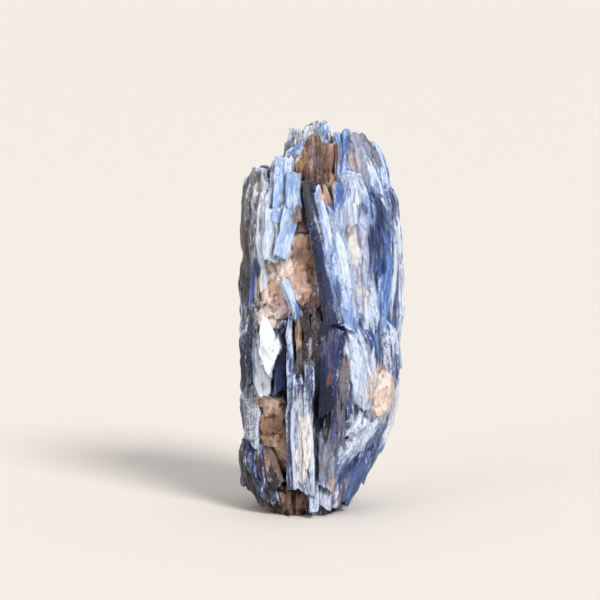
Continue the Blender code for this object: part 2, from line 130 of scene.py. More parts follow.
BLADE_ROWS = (
    (
        "left_rib_high", (-28.8, 74), (-27.8, 136), 7, 8, -50, 0, 2,
        "bark", "graphite", (0.6, 0.4, 0.5, 0.4), 0.15,
    ),
    ("left_rib_low", (-30.2, 26), (-29.4, 90), 7, 8, -45, 0, 2, "bark", "slate", (0.5, 0.7, 0.5, 0.4), 0.3),
    ("left_heel", (-30, 8), (-31.5, 36), 7, 8, -40, 0.5, 2, "bark", "slate", (0.2, 0.5, 0.8), 0.3),
    ("left_scale", (-31.2, 99), (-31.0, 118), 5, 6, -60, 0.8, 1, "bark", "taupe", (0.5, 0.5), 0.1),
    ("left_notch_rib", (-29, 54), (-29.5, 94), 4, 7, -30, 1, 1, "slate", "bark", (0.2, 0.5, 0.6), 0.2),
    (
        "left_shoulder", (-26.4, 112), (-24.6, 139.6), 9.5, 8, -15, 0.5, 1,
        "bark", "silver", (0.2, 0.3, 0.5, 0.6), 0.7,
    ),
    (
        "left_shoulder_edge", (-29, 108), (-28.2, 136), 5.0, 7, -35, 0.5, 1,
        "graphite", "bark", (0.4, 0.6), 0.3,
    ),
    ("shoulder_gap", (-21.6, 106), (-20.8, 136), 5.0, 6, 0, 0.4, 1, "silver", "white", (0.4, 0.4, 0.6), 0.6),
    ("cream_rib", (-25.6, 98), (-24.2, 130), 6, 8, -12, 0.2, 1, "grey", "cream", (0.2, 0.3, 0.7, 0.6), 0.6),
    ("navy_chip", (-27, 80), (-26, 108), 4.5, 7, -25, 0, 1, "slate", "corn", (0.6, 0.8, 0.2), 0.1),
    ("white_rib", (-23.6, 88), (-22.8, 130), 3.4, 8, -8, 2.2, 1, "white", "haze", (0.5, 0.4, 0.3), 0.7),
    ("dark_stripe", (-21.5, 98), (-21, 124), 3, 6, -5, -0.6, 1, "slate", "haze", (0.4, 0.5), 0.4),
    ("crest_left", (-18.8, 116), (-18.8, 138.6), 4.8, 9, -8, 1.0, 1, "haze", "grey", (0.4, 0.3, 0.7), 0.5),
    ("crest_middle", (-15, 118), (-14.8, 144.2), 6.6, 9, -4, 2.5, 1, "sky", "ice", (0.3, 0.4, 0.6), 0.25),
    ("crest_right", (-10.2, 116), (-10.6, 136.6), 6.4, 9, 4, 3.2, 1, "sky", "ice", (0.2, 0.4, 0.2), 0.15),
    ("lean_left", (-23, 100.8), (-21.0, 122), 2.4, 9, -8, 1.2, 1, "haze", "white", (0.3, 0.6), 0.5),
    ("lean_middle", (-19.4, 100.4), (-17.0, 125), 7, 9, -6, 3.2, 1, "white", "ice", (0.5, 0.3), 0.4),
    ("lean_right", (-16.2, 100.6), (-10.6, 124), 6.4, 9, 2, 4, 1, "ice", "sky", (0.7, 0.6, 0.2), 0.25),
    ("splinter", (-6.8, 76), (-14.4, 93.4), 3.4, 6, 22, 1.8, 1, "corn", "ice", (0.1, 0.4, 0.9), 0.1),
    # prow: its dark navy is partly its own colour and partly painted shade on its left face, which is turned
    # from the light.
    ("prow", (5.4, 74), (-7.4, 134), 8.6, 12, -25, 5.5, 1, "navy", "graphite", (0.0, 0.15, 0.5, 0.9), 0.2),
    ("prow_flank", (11.4, 73), (-2.2, 131), 5, 12, 25, 5, 1, "sky", "steel", (0.4, 0.6, 0.3, 0.2), 0.45),
    ("second_flank", (14, 73), (1, 127), 5, 11, 20, 3, 2, "sky", "steel", (0.3, 0.4, 0.5, 0.2), 0.45),
    ("blue_upper", (8, 110), (6.5, 132), 5.5, 10, 14, 2.5, 1, "corn", "sky", (0.5, 0.2, 0.5), 0.2),
    ("pale_upper", (13, 114), (11, 136), 5.5, 10, 18, 3, 2, "ice", "haze", (0.5, 0.5), 0.4),
    ("crown_white_tip", (6.5, 130), (6, 154), 3, 9, 0, -7, 1, "haze", "white", (0.3, 0.8), 0.6),
    ("crown_blue_tip", (10, 126), (10.5, 155), 4.5, 9, 10, -2.5, 1, "sky", "corn", (0.2, 0.1, 0.8, 0.2), 0.4),
    ("lavender", (18, 131), (13.2, 155.2), 5.0, 9, 25, 0, 1, "lavender", "grey", (0.7, 0.6, 0.5), 0.0),
    ("brown_top", (21, 134), (18.2, 155), 5.2, 9, 30, -3, 1, "grey", "bark", (0.2, 0.6, 0.8), 0.2),
    ("right_rim", (30.6, 114), (22.0, 152.0), 6.5, 9, 50, 1.0, 2, "steel", "ice", (0.5, 0.5, 0.4, 0.5), 0.4),
    ("right_upper", (28, 108), (18.5, 143), 8, 9, 38, 1.2, 3, "steel", "haze", (0.5, 0.4, 0.5, 0.6), 0.35),
    ("right_inner", (19.5, 112), (14.5, 136), 6, 9, 28, 2, 1, "haze", "steel", (0.6, 0.5, 0.2), 0.4),
    ("periwinkle", (18.5, 88), (14.5, 124), 5, 9, 25, 2, 2, "corn", "lavender", (0.6, 0.3, 0.5), 0.2),
    ("window", (23, 94), (22, 116), 7, 8, 36, -1.5, 1, "cobalt", "navy", (0.3, 0.6, 0.8), 0.05),
    ("window_streak", (27.5, 100), (21, 129), 3, 8, 42, 1, 1, "navy", "corn", (0.5, 0.2, 0.2), 0.05),
    ("edge_white", (30.8, 96), (30.2, 122), 5.5, 8, 60, 1.4, 1, "white", "haze", (0.5, 0.5), 0.6),
    ("edge_grey", (31.4, 70), (31.0, 104), 5.5, 8, 50, 1.4, 2, "white", "haze", (0.4, 0.5), 0.7),
    ("cobalt", (25.5, 74), (27, 107), 6, 9, 44, 1.2, 2, "corn", "sky", (0.7, 0.3, 0.1), 0.15),
    ("right_pale", (21.5, 72), (19.5, 99), 6, 9, 34, 2, 2, "ice", "sky", (0.5, 0.4, 0.6), 0.4),
    ("seam_side", (12.5, 72), (6.5, 117), 4.5, 10, 22, 3, 1, "sky", "ice", (0.4, 0.8, 0.7), 0.4),
    # mirror: painted white all over, a painted reflection of the light on its smooth, flat face.
    ("mirror", (-16.7, 58.9), (-27.6, 80.3), 9.3, 8, 4, 4.6, 1, "white", "white", (0.3, 0.1), 0.0),
    ("mirror_low", (-23.4, 47), (-26.4, 72), 8.5, 8, -10, 2.4, 1, "white", "ice", (0.4, 0.2, 0.1), 0.2),
    ("navy_face", (-15.0, 47), (-14.2, 76), 8.5, 8, 12, -1.0, 1, "navy", "midnight", (0.4, 0.2, 0.4), 0.0),
    ("left_small", (-28.5, 47), (-29.5, 61), 4.5, 7, -35, 1, 1, "corn", "navy", (0.5, 0.4), 0.3),
    ("silver_block", (-28.4, 25), (-28.4, 53), 8.6, 9, -20, 2.4, 1, "silver", "grey", (0.6, 0.4, 0.3), 0.4),
    ("low_left_a", (-27, 15), (-29.5, 33), 6, 8, -25, 1.2, 2, "slate", "steel", (0.4, 0.6), 0.4),
    ("low_left_b", (-19.5, 5), (-26, 30), 6.5, 9, -15, 1, 2, "navy", "corn", (0.5, 0.4, 0.6), 0.4),
    ("low_left_c", (-15.5, 11), (-22.5, 30), 6.5, 8, -5, 0.6, 1, "brown", "umber", (0.5, 0.4), 0.05),
    ("heel_brown", (-27, 7), (-30, 22), 5.5, 8, -35, 0, 1, "bark", "brown", (0.5, 0.3), 0.3),
    ("heel_edge", (-21, 3.5), (-26, 15), 6.5, 8, -25, 0, 1, "slate", "haze", (0.4, 0.5), 0.4),
    (
        "thin_slate", (-11.5, 10), (-12.5, 79), 3.2, 11, -12, 2.5, 1,
        "slate", "steel", (0.1, 0.3, 0.3, 0.6), 0.4,
    ),
    ("thin_navy", (-9.8, 16), (-10.5, 70), 2.6, 9, -5, 1, 1, "navy", "midnight", (0.5, 0.5), 0.05),
    (
        "white_blade", (-6.4, 8), (-7.0, 67), 8.6, 12, -4, 5, 2,
        "haze", "slate", (0.6, 0.4, 0.4, 0.8, 0.9), 0.35,
    ),
    ("pale_foot", (-2.4, 0.5), (-2.0, 17), 4.2, 10, 0, 4.5, 1, "haze", "steel", (0.3, 0.5), 0.4),
    ("umber_a", (-8.6, 56), (-8.2, 85), 3.4, 9, -8, 2.6, 1, "umber", "bark", (0.4, 0.3, 0.1), 0.1),
    ("umber_b", (-5.4, 54), (-5.2, 84), 3.6, 9, 0, 3.0, 1, "umber", "taupe", (0.4, 0.2, 0.1), 0.15),
    ("umber_c", (-2.2, 46), (-2.0, 84), 3.6, 9, -6, 2.8, 1, "umber", "brown", (0.5, 0.3, 0.3), 0.1),
    ("umber_d", (0.8, 60), (1.4, 84), 3.2, 9, 4, 2.4, 1, "umber", "navy", (0.4, 0.1), 0.0),
    ("midnight", (0.2, 33), (0.6, 62), 7.5, 9, -20, -0.3, 1, "midnight", "midnight", (0.1, 0.3, 0.2), 0.0),
    # slate_side: its plum, strongest at the upper end and gone at the lower end, is a painted sheen over the
    # navy.
    ("slate_side", (5.2, 77.6), (1.8, 34), 10.4, 11, 2, 3.4, 1, "navy", "plum", (0.55, 0.35, 0.1, 0.0), 0.05),
    ("fan_a", (5.2, 22), (11.6, 69), 4.2, 11, 15, 3.4, 1, "taupe", "slate", (0.6, 0.4, 0.3), 0.2),
    ("fan_b", (2.8, 15), (8.6, 60), 3.4, 10, 6, 3, 1, "taupe", "grey", (0.4, 0.5), 0.3),
    ("low_middle", (2.6, 10), (2.8, 35.6), 6, 10, 6, 3, 1, "grey", "slate", (0.6, 0.5, 0.3), 0.3),
    ("shadow_strip", (-1.8, 6), (-1.4, 50), 3.4, 8, -8, 0.5, 1, "midnight", "graphite", (0.5, 0.4), 0.05),
    ("pale_wedge", (1.6, 2.5), (2.8, 16), 5.5, 10, 6, 3, 1, "haze", "slate", (0.2, 0.6), 0.5),
    ("white_lean", (19.5, 42), (11.6, 78), 7.5, 11, 26, 3.6, 3, "ice", "lavender", (0.4, 0.5, 0.3), 0.6),
    ("lavender_lean", (23, 47), (15.2, 79), 4.2, 10, 32, 3, 1, "lavender", "ice", (0.6, 0.4), 0.3),
    ("crease", (22.5, 62), (16, 79), 3, 9, 34, 3.2, 1, "cobalt", "navy", (0.5, 0.4), 0.05),
    ("rough_a", (31.6, 57), (25.6, 78), 7, 9, 46, 2.0, 2, "steel", "grey", (0.5, 0.4), 0.7),
    ("rough_b", (27, 58), (24, 74), 6, 9, 40, 1.5, 2, "steel", "slate", (0.5, 0.4), 0.7),
    ("edge_lean", (23, 25), (31.2, 57), 6.5, 9, 50, 0.6, 2, "haze", "white", (0.4, 0.3, 0.5), 0.5),
    ("streak_a", (5, 18), (25, 42), 6.5, 10, 26, 2.6, 3, "ice", "slate", (0.5, 0.5, 0.4), 0.5),
    ("streak_b", (1.6, 13), (20, 37), 6.5, 10, 20, 2.6, 3, "steel", "haze", (0.4, 0.5, 0.5), 0.4),
    ("streak_c", (11, 30), (21, 43), 4.5, 9, 26, 3, 1, "haze", "slate", (0.4, 0.4), 0.6),
    ("low_right_a", (7, 6), (19, 27), 7.5, 10, 28, 1.6, 2, "steel", "navy", (0.7, 0.6, 0.5), 0.1),
    ("low_right_b", (12, 9), (23, 31), 7, 9, 42, 1.2, 2, "slate", "navy", (0.4, 0.4), 0.2),
    ("low_right_c", (16.5, 11), (26.0, 35), 5.5, 9, 55, 0.6, 2, "slate", "steel", (0.5, 0.4), 0.3),
    ("low_right_d", (4.5, 3.5), (10, 19), 4.5, 9, 14, 2, 1, "slate", "tan", (0.2, 0.7, 0.3), 0.3),
    ("rim_a", (-2.6, 132), (-2.2, 157.8), 8.5, 8, 5, -18, 1, "taupe", "silver", (0.0, 0.2, 0.7, 0.6), 0.35),
    ("rim_b", (-7.8, 132), (-7.0, 157.0), 8.5, 8, -10, -16, 1, "taupe", "silver", (0.1, 0.4, 0.7, 0.6), 0.35),
    ("rim_c", (-12.0, 132), (-11.4, 151.0), 7, 8, -15, -12, 1, "taupe", "steel", (0.1, 0.6, 0.8), 0.3),
    ("rim_d", (-15.6, 130), (-14.6, 144.4), 5.5, 8, -20, -7, 1, "ochre", "taupe", (0.3, 0.8), 0.1),
    ("rim_tip", (0.8, 134), (1.2, 157.2), 4.6, 7, 8, -17, 1, "brown", "sky", (0.0, 0.5, 0.9), 0.4),
    ("brown_web", (-7.8, 112), (-5.4, 133), 7.5, 7, -5, 1.4, 1, "brown", "umber", (0.2, 0.6, 0.4), 0.1),
    ("rim_e", (4, 132), (4.6, 154.6), 5.2, 7, 10, -15, 1, "brown", "grey", (0.2, 0.4, 0.8), 0.4),
)
FRONT_BLADES = [Blade(*row) for row in BLADE_ROWS]

# A pocket's mineral: lower and upper end, how proud each is, how far grains spread across and back, their
# size at each end, and how many there are
Filling = namedtuple("Filling", "name slot foot tip proud spread size grains")
FILLINGS = (
    Filling("quartz_front_pocket", "quartz_front", (-11, 78), (-10, 113), (-8.5, -8.5), (10, 2), (7, 6.2), 16),
    Filling("quartz_lower_pocket", "quartz_lower", (-15, 20), (-20, 46), (-6, -6), (4.5, 1), (5, 6), 8),
    Filling("matrix_base_pocket", "matrix", (-12, 3), (-13, 10), (-6, -6), (5, 1), (5.5, 5), 5),
    Filling("quartz_crown", "quartz_crown", (0.5, 124), (-3, 147), (-7, -15.5), (6, 1.5), (5.6, 5), 10),
    Filling("feldspar_seam", "feldspar_seam", (18.5, 80), (11, 115), (3.4, 2.4), (0.4, 0.2), (4.4, 2.4), 11),
    Filling("feldspar_patch", "feldspar_patch", (25, 42), (24.5, 56), (0.2, 0.2), (2.5, 0.6), (4.4, 4.4), 5),
)

# One lath: the middle of its outer face at foot and tip, its sizes and broken ends, how far its foot and tip
# lean back, then its paint
Lath = namedtuple("Lath", "name foot tip out width taper thick slants bevel tone other share wear")


def section(height):
    """The body's middle, half width, front and back reach at a height."""
    height = min(max(height, STATIONS[0][0]), STATIONS[-1][0])
    for low, high in zip(STATIONS, STATIONS[1:]):
        if height <= high[0]:
            share = (height - low[0]) / (high[0] - low[0])
            left, right, front, back = (a + (b - a) * share for a, b in zip(low[1:], high[1:]))
            return (left + right) / 2, (right - left) / 2, front, back
    return section(STATIONS[-1][0])


def front_y(across, height):
    """The y of the body's front surface there."""
    middle, half, front, _ = section(height)
    share = min(abs(across - middle) / half, 0.985)
    return -front * (1 - share**ROUNDNESS) ** (1 / ROUNDNESS)


def on_drawing(point, proud):
    """The place of a drawing point (across, up) that stands proud of the body's front."""
    across, up = point
    corner_up = FRONT_CORNER_Y * math.sin(LOOK_DOWN)
    height = up
    for _ in range(6):
        y = front_y(across, height) - proud
        height = (up + corner_up - y * math.sin(LOOK_DOWN)) / math.cos(LOOK_DOWN)
    return Vector((across, y, height))


def round_body(degrees, height):
    """A point of the body's surface that many degrees round from the front, and the way out there."""
    middle, half, front, back = section(height)
    angle = math.radians(degrees)
    sine, cosine = math.sin(angle), math.cos(angle)
    depth = front if cosine > 0 else back
    power = 2 / ROUNDNESS
    x = middle + half * math.copysign(abs(sine) ** power, sine)
    y = -depth * math.copysign(abs(cosine) ** power, cosine)
    return Vector((x, y, height)), Vector((sine, -cosine * half / depth, 0)).normalized()


def make_lath(name, foot, tip, out, width, thick, rng, bevel, paint):
    """One lath whose outer face runs from foot to tip, its ends broken at a slant."""
    along = (tip - foot).normalized()
    out = (out - along * out.dot(along)).normalized()
    slants = [(rng.uniform(-0.7, 0.7), rng.uniform(-0.5, 0.5)) for _ in range(2)]
    taper = rng.uniform(0.72, 0.96)
    return Lath(name, foot, tip, out, width, taper, thick, slants, bevel, *paint)


def split_in_laths(foot, tip, out, width, laths, rng):
    """The laths of a blade as (foot, tip, width): side by side, each with ends and a level of its own."""
    along = (tip - foot).normalized()
    side = along.cross((out - along * out.dot(along)).normalized())
    edges = [-0.5] + sorted((k + rng.uniform(-0.2, 0.2)) / laths - 0.5 for k in range(1, laths)) + [0.5]
    length = (tip - foot).length
    overlap = 0.5 if laths > 1 else 0
    pieces = []
    for k, (low, high) in enumerate(zip(edges, edges[1:])):
        shift = side * (low + high) / 2 * width
        shorter = length * rng.uniform(0.03, 0.16) if laths > 1 and k != laths // 2 else 0
        level = -out * rng.uniform(0.3, 1.0) if k != laths // 2 else Vector()
        low_end = foot + shift + level + along * shorter * (rng.random() * 0.6)
        pieces.append((low_end, tip + shift + level - along * shorter, (high - low) * width + overlap))
    return pieces


# Blades that end in a blunt break, and all that stand free of lesser ones beside them
BLUNT = set(
    """
    crest_middle crest_right lean_left lean_middle lean_right mirror navy_face prow prow_flank
    silver_block slate_side splinter
    """.split()
)
FREE = BLUNT | set(
    """
    brown_web cream_rib crest_left crown_white_tip dark_stripe edge_grey edge_white left_heel
    left_notch_rib left_rib_high left_rib_low left_scale left_shoulder left_shoulder_edge left_small
    midnight mirror_low navy_chip pale_foot right_rim rim_a rim_tip shadow_strip shoulder_gap thin_navy
    thin_slate umber_a umber_b umber_c umber_d white_blade white_rib
    """.split()
)

# Blades with smooth, glassy faces, ones that are partly so, and ones of many small, glittering grains, whose
# glints are painted as white specks
SMOOTH = set("lavender midnight mirror navy_face splinter".split())
PLATES = set(
    """
    crest_middle crest_right lean_middle lean_right mirror_low prow prow_flank slate_side window
    """.split()
)
GRANULAR = set(
    """
    edge_lean left_shoulder left_small rough_a rough_b shoulder_gap silver_block streak_a streak_c
    """.split()
)

# Blades that broke at a known slant (foot, tip), and blades that are wedges (width, taper)
SLANTS = {
    "mirror": (-0.8, 1.6),
    "rim_a": (0, 0.15),
    "rim_b": (0, 0.55),
    "rim_c": (0, 0.8),
    "left_shoulder": (0, -0.2),
    "lean_middle": (0, 0.3),
    "lean_right": (0.2, -0.5),
    "crest_middle": (0, -0.3),
    "crest_right": (0, 0.25),
    "slate_side": (0.3, 0.9),
    "navy_face": (-0.9, 0.4),
}
WEDGES = {
    "prow": (8.0, 0.3),
    "prow_flank": (6.0, 0.5),
    "slate_side": (10.4, 0.5),
    "mirror": (9.3, 1.0),
    "rim_a": (8.5, 1.0),
    "rim_b": (8.5, 0.95),
    "rim_c": (7.0, 0.95),
    "left_shoulder": (9.5, 0.95),
    "crest_middle": (6.6, 1.0),
    "crest_right": (6.0, 1.0),
    "lean_middle": (7.0, 0.95),
    "lean_right": (6.4, 1.0),
}


def bevel_of(blade):
    """How far a blade's foot and tip lean back: more where it stands proud, less where it broke bluntly."""
    proud = max(blade.proud, 0)
    low_down = blade.foot[1] < 14
    at_foot = 0.2 if blade.name in BLUNT or low_down else 1.0 + 0.3 * proud
    at_tip = 0.4 if blade.name in BLUNT or blade.name.startswith("rim") else 0.8 + 0.8 * proud
    return at_foot, at_tip


def blade_laths(blade):
    """The laths that a front blade is made of."""
    rng = random.Random(f"{SEED}{blade.name}")
    foot, tip = on_drawing(blade.foot, blade.proud), on_drawing(blade.tip, blade.proud)
    turn = math.radians(blade.turn)
    out = Vector((math.sin(turn), -math.cos(turn), 0))
    paint = blade.tone, blade.other, blade.share, blade.wear
    parts = split_in_laths(foot, tip, out, blade.width, blade.laths, rng)
    made = []
    for number, (low, high, width) in enumerate(parts):
        name = f"{blade.name}{number}"
        made.append(make_lath(name, low, high, out, width, blade.thick, rng, bevel_of(blade), paint))
    if blade.name in WEDGES:
        width, taper = WEDGES[blade.name]
        made = [lath._replace(width=width, taper=taper) for lath in made]
    if blade.name in SLANTS:
        made = [lath._replace(slants=[(slant, 0) for slant in SLANTS[blade.name]]) for lath in made]
    return made


def front_laths():
    """Every lath of the front blades."""
    return [lath for blade in FRONT_BLADES for lath in blade_laths(blade)]


def roof(point):
    """How high the crown stands over a place: a ridge that falls to the left and right."""
    across, y = point.x, point.y
    left = 139 if across < -18 else 139 + (across + 18) * 1.1
    right = 153 - max(across - 10, 0) * 0.75 - max(across - 22, 0) * 1.2
    return min(left, right, 153) - abs(y - 4) * 0.25


SIDE_PAINTS = {  # by the way the side faces: pairs of tones, with their wear
    "right": (
        ("haze", "steel", 0.5),
        ("ice", "grey", 0.6),
        ("steel", "ice", 0.4),
        ("corn", "steel", 0.3),
        ("lavender", "haze", 0.4),
    ),
    "back": (
        ("slate", "steel", 0.4),
        ("corn", "ice", 0.4),
        ("steel", "haze", 0.5),
        ("navy", "slate", 0.2),
        ("ice", "steel", 0.6),
    ),
    "left": (
        ("bark", "slate", 0.4),
        ("taupe", "graphite", 0.3),
        ("slate", "steel", 0.4),
        ("bark", "grey", 0.5),
        ("navy", "slate", 0.2),
    ),
}


def side_laths():
    """The overlapping blades of the sides and back."""
    made = []
    for column in range(SIDE_COLUMNS):
        rng = random.Random(f"{SEED}side{column}")
        brush = random.Random(f"{SEED}paint{column}")
        base = SIDE_FROM + (SIDE_TO - SIDE_FROM) * column / (SIDE_COLUMNS - 1)
        facing = "right" if base < 125 else "back" if base < 235 else "left"
        low = rng.uniform(-8, 5)
        while low < 124:
            length = rng.uniform(*SIDE_LENGTHS)
            high = min(low + length, roof(round_body(base, 140)[0]) + rng.uniform(-5, 1))
            degrees = base + rng.uniform(-4, 4)
            foot, out = round_body(degrees + rng.uniform(-3, 3), low)
            tip, _ = round_body(degrees + rng.uniform(-4, 4), high)
            turned = Matrix.Rotation(math.radians(rng.gauss(0, 16)), 3, "Z") @ out
            proud = rng.uniform(-1.6, 0.6)
            size = rng.uniform(*SIDE_WIDTHS), rng.uniform(*SIDE_THICK)
            tone, other, wear = brush.choice(SIDE_PAINTS[facing])
            paint = tone, other, tuple(brush.uniform(0.1, 0.8) for _ in range(3)), wear
            name = f"side{column}_{len(made)}"
            foot, tip = foot + out * proud, tip + out * proud
            made.append(make_lath(name, foot, tip, turned, *size, rng, FULL_BEVEL, paint))
            low += length * rng.uniform(0.6, 0.85)
    return made


CROWN_PAINTS = (
    ("steel", "grey", 0.5),
    ("ice", "sky", 0.5),
    ("slate", "haze", 0.5),
    ("grey", "ice", 0.5),
    ("corn", "haze", 0.4),
)


def crown_laths():
    """Upright blades inside the rim."""
    made = []
    rng = random.Random(f"{SEED}crown")
    brush = random.Random(f"{SEED}crown paint")
    step_x, step_y = CROWN_STEP
    for row in range(-3, 4):
        for column in range(-4, 5):
            place = Vector((column * step_x + rng.uniform(-2, 2), row * step_y + rng.uniform(-1.5, 1.5), 0))
            top = roof(place) + rng.uniform(-7, -0.5)
            middle, half, front, back = section(top - 2)
            reach = front if place.y < 0 else back
            out_of = abs((place.x - middle) / half) ** 2 + abs(place.y / reach) ** 2
            inside_hollow = CROWN_HOLLOW[0] < place.x < CROWN_HOLLOW[1] and place.y < CROWN_HOLLOW[2]
            turn = rng.uniform(0, 2 * math.pi)
            size = rng.uniform(5, 8), rng.uniform(3.5, 5)
            if out_of > 0.7 or inside_hollow:
                continue
            if CROWN_LOW[0] < place.x < CROWN_LOW[1] and place.y < CROWN_LOW[2]:
                top = min(top, 136 - 1.5 * ((row * 3 + column * 5) % 4))
            lean = Vector((rng.uniform(-2, 2), rng.uniform(-2, 2), 0))
            out = Vector((math.sin(turn), -math.cos(turn), 0))
            foot = place + Vector((0, 0, CROWN_ROOT))
            tone, other, wear = brush.choice(CROWN_PAINTS)
            paint = tone, other, (0.3, 0.4, 0.6), wear
            tip = place + lean + Vector((0, 0, top))
            made.append(make_lath(f"crown{row}_{column}", foot, tip, out, *size, rng, (0, 0.8), paint))
    return made


def backing(laths):
    """Lesser laths beside and behind others, grown the same way, which fill what lies between them."""
    made = []
    for lath in laths:
        if lath.name.rstrip("0123456789") in FREE:
            continue
        rng = random.Random(f"{SEED}behind {lath.name}")
        side = (lath.tip - lath.foot).normalized().cross(lath.out)
        for way in (-1, 1):
            shift = side * way * lath.width * rng.uniform(0.45, 0.8) - lath.out * rng.uniform(1.2, 2.4)
            middle = (lath.foot + lath.tip) / 2 + shift
            half = (lath.tip - lath.foot) / 2 * rng.uniform(0.85, 1.02)
            half = Matrix.Rotation(math.radians(rng.gauss(0, 3)), 3, lath.out) @ half
            tones = (lath.tone, lath.other) if rng.random() < 0.6 else (lath.other, lath.tone)
            if lath.foot.x < -24:
                tones = "bark", "slate"
            paint = *tones, tuple(rng.uniform(0.2, 0.7) for _ in range(3)), lath.wear * 0.8
            size = lath.width * rng.uniform(0.6, 0.9), BACKING_THICK
            foot, tip, name = middle - half, middle + half, f"{lath.name}_behind{way}"
            made.append(make_lath(name, foot, tip, lath.out, *size, rng, FULL_BEVEL, paint))
    return made


# ---- Sculpting: every blade is carved in one grid of distances, which is then skinned ----

GRID_STEP = np.array((0.36, 0.36, 0.62))  # mm, finer across the blades than along them
GRID_LOW = np.array((-35.6, -34.2, -0.62))
GRID_HIGH = np.array((34.8, 27.4, 155.6))
REACH = 1.4  # mm, how far round a blade its distances are worked out
FAR = 9  # mm, for places where no distance is worked out
CORE_RADIUS, SKIN_RADIUS = 26, 28  # mm, where the core's and the skin's noise is measured round the axis

# The numbers that all noise, flakes and grains are made of
TABLE = np.random.default_rng(SEED).uniform(-1, 1, (512, 512)).astype(np.float32)


def chance(row, column):
    """A random number from -1 to 1, always the same for a row and a column."""
    return TABLE[row & 511, column & 511]


def hash_of(name):
    """The same whole number for a name on every run."""
    value = 17
    for letter in name:
        value = (value * 131 + ord(letter)) & 0x7FFFFF
    return value


def seed_of(name):
    """The same number from 0 to 996 for a name on every run."""
    return hash_of(name) % 997


def way_round(x, y, radius):
    """How far round the upright axis places lie, in mm on a cylinder of that radius."""
    return np.arctan2(x, -y) * radius


def noise(x, y, seed):
    """Smooth noise from -1 to 1 over a plane, with hills about 1 apart."""
    x, y = np.broadcast_arrays(x, y)
    left, low = np.floor(x), np.floor(y)
    across, up = x - left, y - low
    across, up = across * across * (3 - 2 * across), up * up * (3 - 2 * up)
    i, j = left.astype(np.int32) + seed * 37, low.astype(np.int32) + seed * 91
    bottom = chance(i, j) * (1 - across) + chance(i + 1, j) * across
    top = chance(i, j + 1) * (1 - across) + chance(i + 1, j + 1) * across
    return bottom * (1 - up) + top * up


def step_up(value, low, high):
    """From 0 to 1, smoothly, as the value goes from low to high."""
    share = np.clip((value - low) / (high - low), 0, 1)
    return share * share * (3 - 2 * share)


def spread_rows(count, step, spacing):
    """Weights that spread a coarse row of numbers smoothly over `count` places."""
    place = np.arange(count) * step / spacing + 1
    left = np.floor(place).astype(int)
    t = place - left
    weights = (1 - t) ** 3, 3 * t**3 - 6 * t**2 + 4, -3 * t**3 + 3 * t**2 + 3 * t + 1, t**3
    rows = np.zeros((count, left.max() + 3))
    for k, weight in enumerate(weights):
        rows[np.arange(count), left - 1 + k] = weight / 6
    return rows


